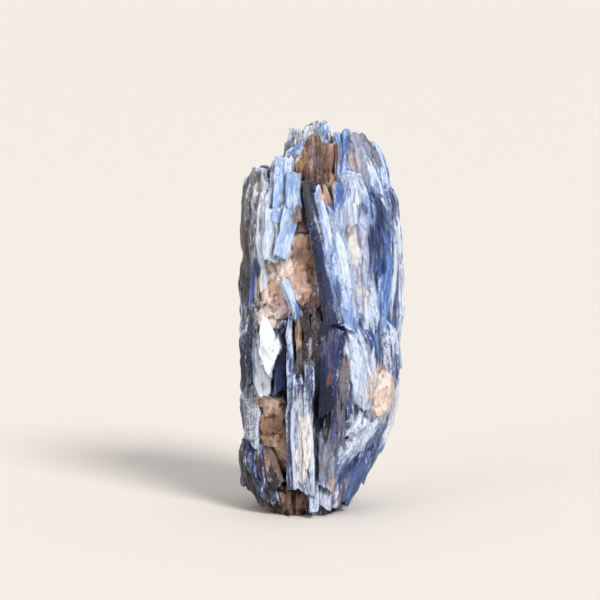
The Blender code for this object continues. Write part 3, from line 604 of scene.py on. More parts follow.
class Grid:
    """A box of distances to a surface, below 0 inside, and to the next one, with each place's owner."""

    def __init__(self, low, high, step):
        self.low, self.step = np.asarray(low, float), np.asarray(step, float)
        self.shape = tuple(np.ceil((np.asarray(high) - self.low) / self.step).astype(int) + 1)
        axes = [self.low[k] + self.step[k] * np.arange(self.shape[k]) for k in range(3)]
        self.place = [a.astype(np.float32) for a in np.meshgrid(*axes, indexing="ij")]
        self.distance = np.full(self.shape, FAR, np.float32)
        self.second = self.distance.copy()
        self.owner = np.full(self.shape, -1, np.int16)
        self.warped = self.place

    def swell(self, spacing, seed):
        """A smooth random field with hills `spacing` mm apart, about -2 to 2."""
        rows = [spread_rows(n, s, gap) for n, s, gap in zip(self.shape, self.step, spacing)]
        coarse = np.random.default_rng(seed).normal(size=[r.shape[1] for r in rows])
        field = np.einsum("ai,bj,ck,ijk->abc", *rows, coarse, optimize=True)
        return (field / field.std()).astype(np.float32)

    def warp(self, bends):
        """Bends what is carved from now on, as BENDS says."""
        self.warped = []
        for axis, place in enumerate(self.place):
            bend = sum(size[axis] * self.swell(spacing, seed + axis) for spacing, size, seed in bends)
            self.warped.append(place + bend)

    def window(self, low, high):
        """The slices that hold a box of places."""
        first = np.floor((np.asarray(low) - self.low) / self.step).astype(int)
        last = np.ceil((np.asarray(high) - self.low) / self.step).astype(int) + 1
        return tuple(slice(max(a, 0), max(min(b, n), 0)) for a, b, n in zip(first, last, self.shape))

    def join(self, window, distance, owner, blend):
        """Adds a solid, whose edges run into the others over `blend` mm."""
        old = self.distance[window]
        wins = distance < old
        share = np.maximum(blend - np.abs(old - distance), 0) / blend
        self.distance[window] = np.minimum(old, distance) - share * share * blend / 4
        self.second[window] = np.minimum(self.second[window], np.maximum(old, distance))
        self.owner[window][wins] = owner

    def sample(self, field, points):
        """The field's values at points, in mm."""
        at = (points - self.low) / self.step
        first = np.clip(np.floor(at).astype(int), 0, np.array(self.shape) - 2)
        t = (at - first).astype(np.float32)
        value = 0
        for corner in np.ndindex(2, 2, 2):
            weight = np.prod([t[:, k] if corner[k] else 1 - t[:, k] for k in range(3)], axis=0)
            value = value + weight * field[tuple((first + corner).T)]
        return value

    def nearest(self, field, points):
        """The field's values at the grid places nearest to points."""
        at = np.rint((points - self.low) / self.step).astype(int)
        return field[tuple(np.clip(at, 0, np.array(self.shape) - 1).T)]

    def blurred(self, reach):
        """The distances, averaged over about `reach` mm each way."""
        field = np.clip(self.distance, -2 * reach, 2 * reach)
        for axis in range(3):
            size = max(1, round(reach / self.step[axis]))
            total = np.moveaxis(np.cumsum(field, axis=axis, dtype=np.float64), axis, 0)
            wide = np.concatenate((total[:1] * 0, total))
            high = np.minimum(np.arange(len(total)) + size + 1, len(total))
            low = np.maximum(np.arange(len(total)) - size, 0)
            mean = (wide[high] - wide[low]) / (high - low).reshape(-1, 1, 1)
            field = np.moveaxis(mean, 0, axis).astype(np.float32)
        return field

    def crossed(self, inside):
        """The cells that the surface passes through."""
        halves = slice(0, -1), slice(1, None)
        corners = [inside[tuple(halves[side] for side in corner)] for corner in np.ndindex(2, 2, 2)]
        count = sum(corner.astype(np.int8) for corner in corners)
        return np.argwhere((count > 0) & (count < 8))

    def points_in(self, cell):
        """A point of the surface in each cell: the middle of where it crosses the cell's edges."""
        total, crossings = np.zeros((len(cell), 3)), np.zeros((len(cell), 1))
        for start in np.ndindex(2, 2, 2):
            for axis in [k for k in range(3) if not start[k]]:
                way = np.eye(3, dtype=int)[axis]
                here = self.distance[tuple((cell + start).T)]
                there = self.distance[tuple((cell + start + way).T)]
                crosses = (here < 0) != (there < 0)
                share = np.where(crosses, here / np.where(crosses, here - there, 1), 0)
                total += crosses[:, None] * (np.array(start) + share[:, None] * way)
                crossings += crosses[:, None]
        return (cell + total / crossings) * self.step + self.low

    def faces_across(self, axis, inside, number):
        """A face round each grid edge along an axis that crosses the surface, by its points' numbers."""
        low, high = [slice(1, -1)] * 3, [slice(1, -1)] * 3
        low[axis], high[axis] = slice(0, -1), slice(1, None)
        starts, ends = inside[tuple(low)], inside[tuple(high)]
        edge = np.argwhere(starts != ends)
        outward = starts[tuple(edge.T)]
        edge = edge + np.array([0 if k == axis else 1 for k in range(3)])
        one, two = [k for k in range(3) if k != axis]
        ring = []
        for a, b in ((0, 0), (1, 0), (1, 1), (0, 1)):
            corner = edge.copy()
            corner[:, one] -= a
            corner[:, two] -= b
            ring.append(number[tuple(corner.T)])
        ring = np.stack(ring, 1)
        flip = outward if axis != 1 else ~outward
        ring[~flip] = ring[~flip][:, ::-1]
        return ring

    def skin(self):
        """Points and four-sided faces of the surface at distance 0, facing out."""
        inside = self.distance < 0
        cell = self.crossed(inside)
        number = np.full(np.array(self.shape) - 1, -1, np.int32)
        number[tuple(cell.T)] = np.arange(len(cell))
        return self.points_in(cell), np.concatenate([self.faces_across(k, inside, number) for k in range(3)])


def length_of(lath):
    """A lath's length, in mm."""
    return (lath.tip - lath.foot).length


def axes_of(lath):
    """The ways across a lath, along it from foot to tip, and out of its face."""
    along = (lath.tip - lath.foot).normalized()
    return along.cross(lath.out), along, lath.out


def box_of(lath):
    """The lowest and highest corners of the space that a lath takes."""
    side, _, out = axes_of(lath)
    ends = itertools.product((lath.foot, lath.tip), (-1, 1), (0, lath.thick))
    corners = np.array([end + side * s * lath.width / 2 - out * depth for end, s, depth in ends])
    return corners.min(0), corners.max(0)


def in_lath(lath, points):
    """Where points lie in a lath: across it, along it from the foot, and out of its face."""
    relative = [p - f for p, f in zip(points, lath.foot)]
    return [sum(r * w for r, w in zip(relative, way)) for way in axes_of(lath)]


# From here on, s, a and o are places across a lath, along it from its foot, and out of its face, in mm.

FLAKE = (3.2, 11.0)  # mm, across and along, of the flat breaks that a blade's face is made of
FLAKE_TILT, FLAKE_STEP = 0.30, 0.40  # mm, how far a break leans, and stands out or back
BEVEL_LENGTH = 8.0  # mm, over which a blade's ends lean back
LEAF = 0.35  # how far a blade's outline draws in at its ends
LEAF_LENGTH = 1.6  # widths of the blade, over which it does so


def flakes(s, a, seed):
    """How far the face stands out or back on each of its flat breaks, and the break's number."""
    x = s / FLAKE[0] + 0.22 * noise(s * 0.9, a * 0.3, seed + 3)
    y = a / FLAKE[1] + 0.22 * noise(s * 0.5, a * 0.35, seed + 4)
    i, j = np.floor(x).astype(int), np.floor(y).astype(int)
    best, level, number = np.full(s.shape, float(FAR)), np.zeros(s.shape), np.zeros(s.shape, int)
    for right, up in itertools.product((-1, 0, 1), repeat=2):
        row, column = i + right, j + up
        p, q = row * 13 + seed, column * 29 + seed * 3
        away_x = x - (row + 0.5 + 0.45 * chance(p, q))
        away_y = y - (column + 0.5 + 0.45 * chance(p + 1, q))
        near = away_x**2 + away_y**2
        closer = near < best
        tilt = FLAKE_TILT * chance(p + 2, q) * away_x + FLAKE_TILT * chance(p + 3, q) * away_y
        level = np.where(closer, tilt + FLAKE_STEP * chance(p + 4, q) - 0.22, level)
        number = np.where(closer, (row * 61 + column * 17 + seed) & 511, number)
        best = np.minimum(near, best)
    return level, number


def ends_at(lath, s, o, seed):
    """How far along a lath its ragged foot and tip lie, at places across it and out of its face."""
    (slant, lean), (tip_slant, tip_lean) = lath.slants
    length = length_of(lath)
    ragged = 1.6 * np.abs(noise(s * 1.2, 9.5, seed)) + 0.6 * np.abs(noise(s * 3.3, 17.5, seed))
    bottom = -(slant * s - abs(slant) * lath.width / 2 + lean * o * 0.5) + ragged * 0.6
    top = length + tip_slant * s - abs(tip_slant) * lath.width / 2 + tip_lean * o * 0.5 - ragged
    return bottom, top


def half_width_at(lath, s, a, bottom, top, seed):
    """Half a lath's width along it: it tapers, draws in like a leaf at its ends, and has a rough outline."""
    length = length_of(lath)
    half = lath.width / 2 * (1 - (1 - lath.taper) * np.clip(a / length, 0, 1))
    leaf = LEAF * (1 + 0.6 * chance(seed, 31)) * (lath.bevel[1] > 0.5)
    for inward, share in ((top - a, 1), (a - bottom, min(lath.bevel[0], 1))):
        half *= 1 - leaf * (1 - np.sqrt(np.clip(inward / (LEAF_LENGTH * lath.width), 0.01, 1))) * share
    edge = np.sign(s) * 5.3
    return half - 0.1 + 0.26 * noise(a * 0.22, edge, seed) + 0.10 * noise(a * 1.1, edge + 3, seed)


def face_at(lath, s, a, bottom, top, seed):
    """How far a lath's face stands out: its flat breaks and fine grooves, rounded sides and bevelled ends."""
    worn = 0.4 + 0.8 * lath.wear
    level = worn * (flakes(s, a, seed)[0] + 0.06 * noise(s * 2.6, a * 0.11, seed + 5))
    level -= 0.25 * (s / lath.width * 2) ** 4
    level -= lath.bevel[0] * step_up(bottom + BEVEL_LENGTH - a, 0, BEVEL_LENGTH)
    level -= lath.bevel[1] * step_up(a - top + BEVEL_LENGTH, 0, BEVEL_LENGTH)
    return level


def carve(grid, lath, owner, blend, keep_out=None):
    """Adds one lath with its broken ends, worn edges and cleavage steps."""
    low, high = box_of(lath)
    window = grid.window(low - REACH, high + REACH)
    across, along, out = in_lath(lath, [place[window] for place in grid.warped])
    rough = np.maximum(np.abs(across) - lath.width / 2, -along)
    rough = np.maximum(rough, along - length_of(lath))
    close = np.maximum(rough, np.maximum(out, -lath.thick - out)) < REACH
    s, a, o = across[close], along[close], out[close]
    seed = seed_of(lath.name)

    bottom, top = ends_at(lath, s, o, seed)
    half, level = half_width_at(lath, s, a, bottom, top, seed), face_at(lath, s, a, bottom, top, seed)
    distance = np.maximum(np.abs(s) - half, np.maximum(o - level, -lath.thick - o))
    distance = np.maximum(distance, np.maximum(bottom - a, a - top) * 0.8)
    carved = np.full(close.shape, FAR, np.float32)
    carved[close] = distance
    if keep_out is not None:
        carved = np.maximum(carved, -keep_out[window])
    grid.join(window, carved, owner, blend)


def box_distance(place, centre, size, degrees):
    """Distances to an upright box that is turned about Z."""
    angle = math.radians(degrees)
    x, y, z = (p - c for p, c in zip(place, centre))
    s = x * math.cos(angle) + y * math.sin(angle)
    d = x * math.sin(angle) - y * math.cos(angle)
    return np.maximum(np.maximum(np.abs(s) - size[0] / 2, np.abs(d) - size[1] / 2), np.abs(z) - size[2] / 2)


def body_distance(place):
    """Distances to the body's surface, by its sections."""
    x, y, z = place
    heights = np.linspace(0, 156, 157)
    sections = np.array([section(h) for h in heights])
    middle, half, front, back = (np.interp(z, heights, sections[:, k]).astype(np.float32) for k in range(4))
    reach = np.where(y < 0, front, back)
    u, v = np.abs(x - middle) / half + 1e-4, np.abs(y) / reach + 1e-4
    power = ROUNDNESS - 1
    f = (u**ROUNDNESS + v**ROUNDNESS) ** (1 / ROUNDNESS)
    steep = f**-power * np.sqrt((u**power / half) ** 2 + (v**power / reach) ** 2)
    return (f - 1) / steep


CORE_DEPTH = 2.6  # mm, of the fibrous mass below the blades' faces
CORE_RISE = 1.8  # mm, by which it comes nearer to them on the right
CORE_TOP = 127  # mm, how high it reaches
CORE_MERGE = 0.5  # mm, over which the blades run into it


def carve_core(grid, keep_out, owner):
    """The fibrous mass that the blades grow from."""
    x, y, z = grid.warped
    round_it = way_round(x, y, CORE_RADIUS)
    strands = 0.9 * noise(round_it * 0.28, z * 0.035, 1) + 0.5 * noise(round_it * 0.9, z * 0.09, 2)
    depth = CORE_DEPTH - CORE_RISE * step_up(x, 3, 12) + strands + 0.25 * noise(round_it * 2.2, z * 0.2, 3)
    distance = np.maximum(body_distance(grid.warped) + depth, z - CORE_TOP - 3 * strands)
    for centre, size, degrees in POCKETS:
        distance = np.maximum(distance, -box_distance(grid.warped, centre, size, degrees))
    distance = np.maximum(distance, -keep_out)
    everything = tuple(slice(0, n) for n in grid.shape)
    grid.join(everything, distance.astype(np.float32), owner, CORE_MERGE)


def balls_of(filling):
    """The middles and sizes of a filling's grains, as in the CAD source."""
    rng = random.Random(f"{SEED}{filling.name}")
    foot, tip = on_drawing(filling.foot, filling.proud[0]), on_drawing(filling.tip, filling.proud[1])
    balls = []
    for step in range(filling.grains):
        share = (step + rng.uniform(0.2, 0.8)) / filling.grains
        sideways = (step * GOLDEN_SHARE % 1) * 2 - 1
        offset = Vector((sideways * filling.spread[0], rng.uniform(-1, 1) * filling.spread[1], 0))
        radius = (filling.size[0] + (filling.size[1] - filling.size[0]) * share) * rng.uniform(0.8, 1.2)
        balls.append((foot.lerp(tip, share) + offset, radius))
        for _ in range(GRAIN_POINTS):  # the source draws each grain's corners here
            for _ in range(3):
                rng.gauss(0, 1)
            rng.uniform(0.8, 1.15)
    return balls


def balls_distance(balls, place, blend):
    """Distances to balls whose surfaces run into each other."""
    field = np.full(place[0].shape, FAR, np.float32)
    for centre, radius in balls:
        ball = np.sqrt(sum((p - c) ** 2 for p, c in zip(place, centre))) - radius * 0.9
        share = np.maximum(blend - np.abs(field - ball), 0) / blend
        field = np.minimum(field, ball) - share * share * blend / 4
    return field


FACET_SHAKE = 0.42  # grains, how far a grain's middle lies off its place
FACET_TILT, FACET_STEP = 0.75, 0.22  # grains, how far its face leans, and stands out or back
Facets = namedtuple("Facets", "inward number border")


def facets(points, spacing, seed):
    """The grains that points lie in: how far each grain's face is set in, its number and its border."""
    at = points / spacing
    cell = np.floor(at).astype(np.int64)
    best = np.full(len(points), 1e9)
    second = best.copy()
    inward, number = np.zeros(len(points)), np.zeros(len(points), int)
    for way in itertools.product((-1, 0, 1), repeat=3):
        grain = cell + way
        key = (grain[:, 0] * 73856093) ^ (grain[:, 1] * 19349663) ^ (grain[:, 2] * 83492791) ^ seed
        row, column = key >> 9, key & 511
        shake = np.stack([chance(row + k, column) for k in range(3)], 1)
        away = at - (grain + 0.5 + FACET_SHAKE * shake)
        near = (away**2).sum(1)
        closer = near < best
        second = np.where(closer, best, np.minimum(second, near))
        best = np.where(closer, near, best)
        tilt = np.stack([chance(row + k, column + 5) for k in range(3)], 1)
        set_in = (away * tilt).sum(1) * FACET_TILT + chance(row, column + 9) * FACET_STEP
        inward, number = np.where(closer, set_in, inward), np.where(closer, column, number)
    return Facets(inward * spacing, number, (np.sqrt(second) - np.sqrt(best)) * spacing)


# ---- Paint: what colour each point of the stone has ----


def linear(rgb):
    """sRGB bytes as linear values."""
    value = np.asarray(rgb, float) / 255
    return np.where(value <= 0.04045, value / 12.92, ((value + 0.055) / 1.055) ** 2.4)


LINEAR = {name: linear(rgb) for name, rgb in TONES.items()}

# A mark of another tone on the front: its middle (across, up), half width and height, lean in degrees, tone
# and how strong it is
Mark = namedtuple("Mark", "name at size lean tone strength")
MARK_ROWS = (
    ("shoulder_cream", (-24.8, 129.8), (2.2, 2.4), 0, "cream", 0.9),
    ("crest_cream", (-15.2, 126.2), (1.3, 1.6), 0, "cream", 0.7),
    ("crown_clay", (1.8, 128.4), (2.8, 4.4), -8, "tan", 0.9),
    ("crown_clay_dark", (3.4, 125.0), (1.5, 2.5), 0, "clay", 0.8),
    ("crown_blush", (12.6, 141.0), (2.0, 4.6), 8, "blush", 0.45),
    ("crown_olive", (21.4, 141.4), (2.0, 3.8), 15, "taupe", 0.6),
    ("ochre_needles", (-8.4, 143.4), (2.4, 5.0), 0, "ochre", 0.6),
    ("crown_crystals", (-8.2, 136.8), (2.2, 3.6), 0, "lavender", 0.7),
    ("brown_gap", (-8.4, 118.0), (2.2, 6.0), 8, "brown", 0.9),
    ("white_blade_chalk", (-6.6, 29.0), (3.4, 13.0), -4, "chalk", 0.9),
    ("low_steel", (12.6, 15.0), (6.5, 10.0), 20, "corn", 0.4),
    ("upper_corn", (8.0, 128.0), (2.8, 5.0), 0, "corn", 0.75),
    ("upper_haze", (7.6, 118.0), (4.4, 4.8), 0, "haze", 0.6),
    ("upper_navy", (16.0, 121.2), (1.8, 2.8), 15, "navy", 0.65),
    ("right_navy", (23.6, 122.0), (1.4, 5.5), 25, "navy", 0.7),
    ("right_haze", (16.4, 114.6), (2.4, 4.8), 10, "haze", 0.55),
    ("window_navy", (21.8, 109.4), (2.8, 5.6), 10, "navy", 0.85),
    ("cobalt_spot", (24.2, 98.6), (1.6, 3.2), 10, "cobalt", 0.9),
    ("seam_foot", (16.6, 86.4), (3.4, 4.6), 35, "cream", 0.55),
    ("left_chip", (-26.0, 92.0), (1.7, 5.0), 0, "corn", 0.8),
    ("left_lumps", (-23.4, 89.0), (2.4, 8.0), 0, "cream", 0.8),
    ("left_white", (-22.6, 104.0), (1.2, 6.0), 0, "haze", 0.7),
    ("tan_chip", (-9.2, 72.8), (2.0, 5.0), 0, "tan", 0.9),
    ("slate_dark_side", (-0.6, 52.0), (2.6, 12.0), 0, "midnight", 0.8),
    ("slate_dark_foot", (2.0, 45.0), (5.2, 8.0), 0, "midnight", 0.85),
    ("rust_spot", (3.6, 54.6), (1.3, 2.6), -15, "rust", 0.85),
    ("rust_line", (10.2, 62.0), (0.6, 3.2), 10, "rust", 0.7),
    ("foot_tan", (4.6, 12.8), (1.2, 3.6), 0, "tan", 0.7),
    ("foot_white", (1.4, 8.4), (2.6, 4.8), 0, "haze", 0.7),
    ("upper_mosaic", (5.2, 112.0), (4.4, 7.0), 10, "ice", 0.5),
    ("prow_foot_pale", (7.0, 84.0), (2.4, 5.0), 0, "ice", 0.35),
    ("heel_umber", (-24.0, 6.0), (9.0, 6.5), 12, "umber", 0.85),
    ("left_edge_dark", (-31.4, 88.0), (3.4, 50.0), 0, "graphite", 0.6),
    ("left_top_dark", (-29.0, 121.0), (2.8, 16.0), 0, "bark", 0.85),
    ("left_inner_navy", (-28.0, 66.0), (2.2, 13.0), 0, "navy", 0.7),
    ("silver_low_navy", (-28.5, 26.0), (2.4, 4.4), 0, "navy", 0.7),
    ("patch_rim", (24.0, 48.0), (7.0, 11.0), 20, "haze", 0.6),
    ("patch_peach", (24.6, 50.0), (5.2, 9.6), 10, "peach", 0.7),
    ("seam_rim", (15.0, 98.0), (3.2, 16.0), 15, "haze", 0.5),
    # recess_dark: painted shade, midnight in the recess low in the middle of the front.
    ("recess_dark", (-0.6, 42.0), (2.6, 14.0), 0, "midnight", 0.7),
    ("low_right_dark", (13.0, 14.0), (7.0, 9.0), -35, "slate", 0.5),
    ("crown_shadow", (6.4, 143.4), (2.0, 3.6), 0, "brown", 0.8),
    ("crown_lavender", (4.4, 136.0), (2.6, 3.2), 0, "lavender", 0.7),
    ("blue_tip_navy", (10.4, 147.5), (1.2, 3.4), 0, "cobalt", 0.45),
    ("left_sparkle_navy", (-29.0, 50.0), (2.0, 4.0), 0, "navy", 0.6),
    ("seam_top_cream", (12.6, 107.0), (1.7, 8.5), 8, "cream", 0.7),
    ("flank_navy", (6.0, 87.5), (1.9, 5.5), 8, "navy", 0.65),
    ("flank_white", (1.6, 118.0), (1.0, 8.0), 12, "white", 0.6),
    ("rim_grey", (-5.0, 152.0), (8.0, 4.0), 0, "grey", 0.5),
    ("prow_sky", (3.2, 96.0), (0.8, 16.0), 12, "sky", 0.5),
    # prow_black: painted shade, midnight on the left half of the prow's face.
    ("prow_black", (-3.4, 106.0), (1.8, 22.0), 12, "midnight", 0.6),
    ("heel_dark", (-29.0, 14.0), (3.0, 8.0), 15, "umber", 0.8),
    ("umber_dark", (-4.0, 76.0), (6.0, 6.0), 0, "umber", 0.65),
    ("streak_white", (13.2, 29.2), (0.6, 11.0), -45, "white", 0.5),
    ("low_navy_a", (9.0, 18.0), (1.6, 4.0), -30, "navy", 0.6),
    ("low_navy_b", (14.0, 12.0), (1.6, 5.0), -20, "slate", 0.6),
)
MARKS = [Mark(*row) for row in MARK_ROWS]

SLAT_WIDTH = 1.1  # mm, of the bands of slightly different shade along a blade
PLATE_SMOOTH = 0.55  # how smooth the PLATES are
PAINT_RUN = 2  # how many times the paint runs into its neighbours


def drawn_at(points):
    """Where points show on the drawing: across and up."""
    up = points[:, 2] * math.cos(LOOK_DOWN) + (points[:, 1] - FRONT_CORNER_Y) * math.sin(LOOK_DOWN)
    return points[:, 0], up


def add_marks(points, paint, marks):
    """Paints the marks, with broken edges, on what faces the front."""
    across, up = drawn_at(points)
    front = step_up(-points[:, 1], 2, 8)
    for mark in marks:
        lean = math.radians(mark.lean)
        x, y = across - mark.at[0], up - mark.at[1]
        s, t = x * math.cos(lean) + y * math.sin(lean), y * math.cos(lean) - x * math.sin(lean)
        seed = seed_of(mark.name)
        broken = 0.42 * noise(s * 1.2, t * 0.22, seed) + 0.24 * noise(s * 2.8, t * 0.5, seed + 1)
        far = np.sqrt((s / mark.size[0]) ** 2 + (t / mark.size[1]) ** 2) + broken
        amount = (step_up(1.12 - far, 0, 0.2) * mark.strength * front)[:, None]
        for key in ("tone_a", "tone_b"):
            paint[key] += (LINEAR[mark.tone] - paint[key]) * amount
        if "frost" in paint:
            paint["frost"] -= 0.5 * np.maximum(paint["frost"], 0) * amount[:, 0]
            paint["sparkle"] *= 1 - 0.7 * amount[:, 0]


def paint_lath(paint, pick, places, lath):
    """Paints a lath's points: bands along it, and another shade on each of its flat breaks."""
    s, a, o = in_lath(lath, places.T)
    seed = seed_of(lath.name)
    slat = np.floor(s / SLAT_WIDTH + 0.5 * noise(s * 0.4, a * 0.04, seed + 11)).astype(int)
    band = chance(slat * 7 + seed, seed)
    cell = flakes(s, a, seed)[1]
    shade = (1 + 0.07 * band + 0.16 * chance(cell, 11) + 0.08 * chance(seed, 3))[:, None]
    paint["tone_a"][pick] = LINEAR[lath.tone] * shade
    paint["tone_b"][pick] = LINEAR[lath.other] * shade
    share = np.interp(a / length_of(lath), np.linspace(0, 1, len(lath.share)), lath.share)
    paint["patch"][pick] = share + 0.12 * band + 0.36 * chance(cell, 23)
    paint["frost"][pick] = lath.wear + 0.08 * chance(slat * 5 + seed, 77) + 0.26 * chance(cell, 31)
    blade = lath.name.rstrip("0123456789")
    paint["smooth"][pick] = 1.0 if blade in SMOOTH else PLATE_SMOOTH if blade in PLATES else 0.0
    paint["sparkle"][pick] = 1.0 if blade in GRANULAR else 0.3 * lath.wear
    unfolded = s + np.sign(s) * np.maximum(-o - 0.6, 0)
    paint["grain"][pick] = np.stack((unfolded, a, np.full(len(pick), seed * 7.13)), 1)


def paint_core(paint, core, places):
    """Paints the core: steel on the right, and umber on the left and low down."""
    x, y, z = places.T
    round_it = way_round(x, y, CORE_RADIUS)
    left = step_up(-x + 4 * noise(z * 0.1, 0.5, 7), 8, 20)[:, None]
    low = step_up(-z + 3 * noise(round_it * 0.2, 0.5, 8), -20, -10)[:, None]
    for key, right_tone, left_tone in (("tone_a", "steel", "umber"), ("tone_b", "slate", "graphite")):
        high = LINEAR[right_tone] * (1 - left) + LINEAR[left_tone] * left
        paint[key][core] = high * (1 - low) + LINEAR[left_tone] * low
    paint["patch"][core] = 0.55
    paint["frost"][core] = 0.3
    paint["grain"][core] = np.stack((round_it, z, np.full(len(z), 3.3)), 1)


def paint_laths(points, owner, grid, laths):
    """Each point's two tones, the share of the second, its frost and its place in the grain."""
    warped = np.stack([grid.sample(place, points) for place in grid.warped], 1)
    paint = {key: np.zeros((len(points), 3)) for key in ("tone_a", "tone_b", "grain")}
    paint |= {key: np.zeros(len(points)) for key in ("patch", "frost", "smooth", "sparkle")}
    order = np.argsort(owner, kind="stable")
    starts = np.searchsorted(owner[order], np.arange(len(laths) + 1))
    for lath, start, end in zip(laths, starts, starts[1:]):
        pick = order[start:end]
        if len(pick):
            paint_lath(paint, pick, warped[pick], lath)
    core = owner == len(laths)
    paint_core(paint, core, warped[core])
    return paint


def soften(paint, faces, rounds):
    """Lets each point's paint run into its neighbours'."""
    ends = faces[:, [0, 1, 1, 2, 2, 3, 3, 0]].reshape(-1, 2)
    ends = np.concatenate((ends, ends[:, ::-1]))
    count = np.bincount(ends[:, 0], minlength=len(paint["patch"]))
    for key in ("tone_a", "tone_b", "patch", "frost", "smooth", "sparkle"):
        for _ in range(rounds):
            columns = paint[key].reshape(len(count), -1).T
            near = [np.bincount(ends[:, 0], column[ends[:, 1]], len(count)) / count for column in columns]
            paint[key] = ((columns + 2 * np.array(near)) / 3).T.reshape(paint[key].shape)


def relief(grid, points, near, depth):
    """How far points stand out (above 0) or lie back: from what is near, and from the form as a whole."""
    ridge = grid.sample(grid.blurred(near), points) / depth
    bulk = grid.sample(grid.blurred(2.6), points) / 0.9
    return ridge, bulk


def add_frost_and_painted_shade(points, paint, grid):
    """Frost on what stands out, partly wear and partly a painted highlight on the edges; painted shade in what
    lies back and in the seams where blades meet.
    """
    ridge, bulk = relief(grid, points, 0.8, 0.25)
    seam = grid.sample(grid.second, points)
    _, up = drawn_at(points)
    round_it = way_round(points[:, 0], points[:, 1], SKIN_RADIUS)
    cloud = noise(round_it * 0.16, up * 0.07, 51) + 0.6 * noise(round_it * 0.45, up * 0.17, 52)
    fleck = noise(round_it * 1.3, up * 0.6, 53)
    # Frost on ridges is partly edge wear and partly a painted highlight along the edges; hollows get less of
    # it.
    paint["frost"] += 0.42 * np.clip(ridge, 0, 1) - 0.3 * np.clip(-ridge, 0, 1) + 0.20 * cloud + 0.05 * fleck
    paint["patch"] += 0.25 * noise(round_it * 0.2, up * 0.09, 54)
    # Painted shade: darker in hollows, in the dips of the form as a whole and in the concave seams where
    # blades meet; the fleck only varies it at random.
    seam_shade = step_up(0.6 - seam, 0, 0.5) * step_up(-ridge, -0.15, 0.5)
    paint["shade"] = 1 - 0.5 * np.clip(-ridge, 0, 1) - 0.5 * np.clip(-bulk, 0, 1)
    paint["shade"] = np.clip(paint["shade"] * (1 - 0.35 * seam_shade), 0.12, 1) * (1 + 0.06 * fleck)


# ---- Materials ----


class Nodes:
    """Short ways to add and join shader nodes."""

    def __init__(self, name):
        self.material = bpy.data.materials.new(name)
        self.material.use_nodes = True
        self.tree = self.material.node_tree
        self.shader = self.tree.nodes["Principled BSDF"]

    def put(self, socket, value):
        """Sets a socket, or links it to another node's output."""
        if isinstance(value, bpy.types.NodeSocket):
            self.tree.links.new(value, socket)
        else:
            socket.default_value = value

    def fill(self, node, inputs, output=0):
        """Sets a node's inputs, and gives one of its outputs."""
        for socket, value in inputs.items():
            self.put(node.inputs[socket], value)
        return node.outputs[output]

    def attribute(self, name, output="Fac"):
        node = self.tree.nodes.new("ShaderNodeAttribute")
        node.attribute_name = name
        return node.outputs[output]

    def math(self, operation, a, b=0.0, c=0.0):
        node = self.tree.nodes.new("ShaderNodeMath")
        node.operation = operation
        return self.fill(node, {0: a, 1: b, 2: c})

    def swing(self, value, spots, size):
        """The value, which the spots of a noise take up or down by at most half of size."""
        return self.math("ADD", value, self.math("MULTIPLY_ADD", spots, size, -size / 2))

    def stretch(self, vector, scale):
        node = self.tree.nodes.new("ShaderNodeVectorMath")
        node.operation = "MULTIPLY"
        return self.fill(node, {0: vector, 1: scale})

    def noise(self, vector, scale, detail, roughness):
        node = self.tree.nodes.new("ShaderNodeTexNoise")
        inputs = {"Vector": vector, "Scale": scale, "Detail": detail, "Roughness": roughness}
        return self.fill(node, inputs, "Fac")

    def ramp(self, value, low, high, to_low=0.0, to_high=1.0):
        node = self.tree.nodes.new("ShaderNodeMapRange")
        node.interpolation_type = "SMOOTHSTEP"
        return self.fill(node, {0: value, 1: low, 2: high, 3: to_low, 4: to_high})

    def mix(self, share, a, b, kind="MIX"):
        node = self.tree.nodes.new("ShaderNodeMix")
        node.data_type, node.blend_type = "RGBA", kind
        return self.fill(node, {"Factor": share, 6: a, 7: b}, 2)

    def toward(self, tone, share, rgb):
        """The tone with a share of another, given in sRGB bytes, laid over it."""
        return self.mix(share, tone, (*linear(rgb), 1))

    def bump(self, height, distance, strength, normal=None):
        node = self.tree.nodes.new("ShaderNodeBump")
        inputs = {"Height": height, "Distance": distance, "Strength": strength}
        if normal is not None:
            inputs["Normal"] = normal
        return self.fill(node, inputs)


FROST_TONE = (216, 228, 250)
PAINTED_GLINT_TONE = (240, 242, 250)
LINE_TONE = (36, 42, 78)
# The dark navy that painted shade goes toward
PAINTED_SHADE_TONE = (10, 13, 34)


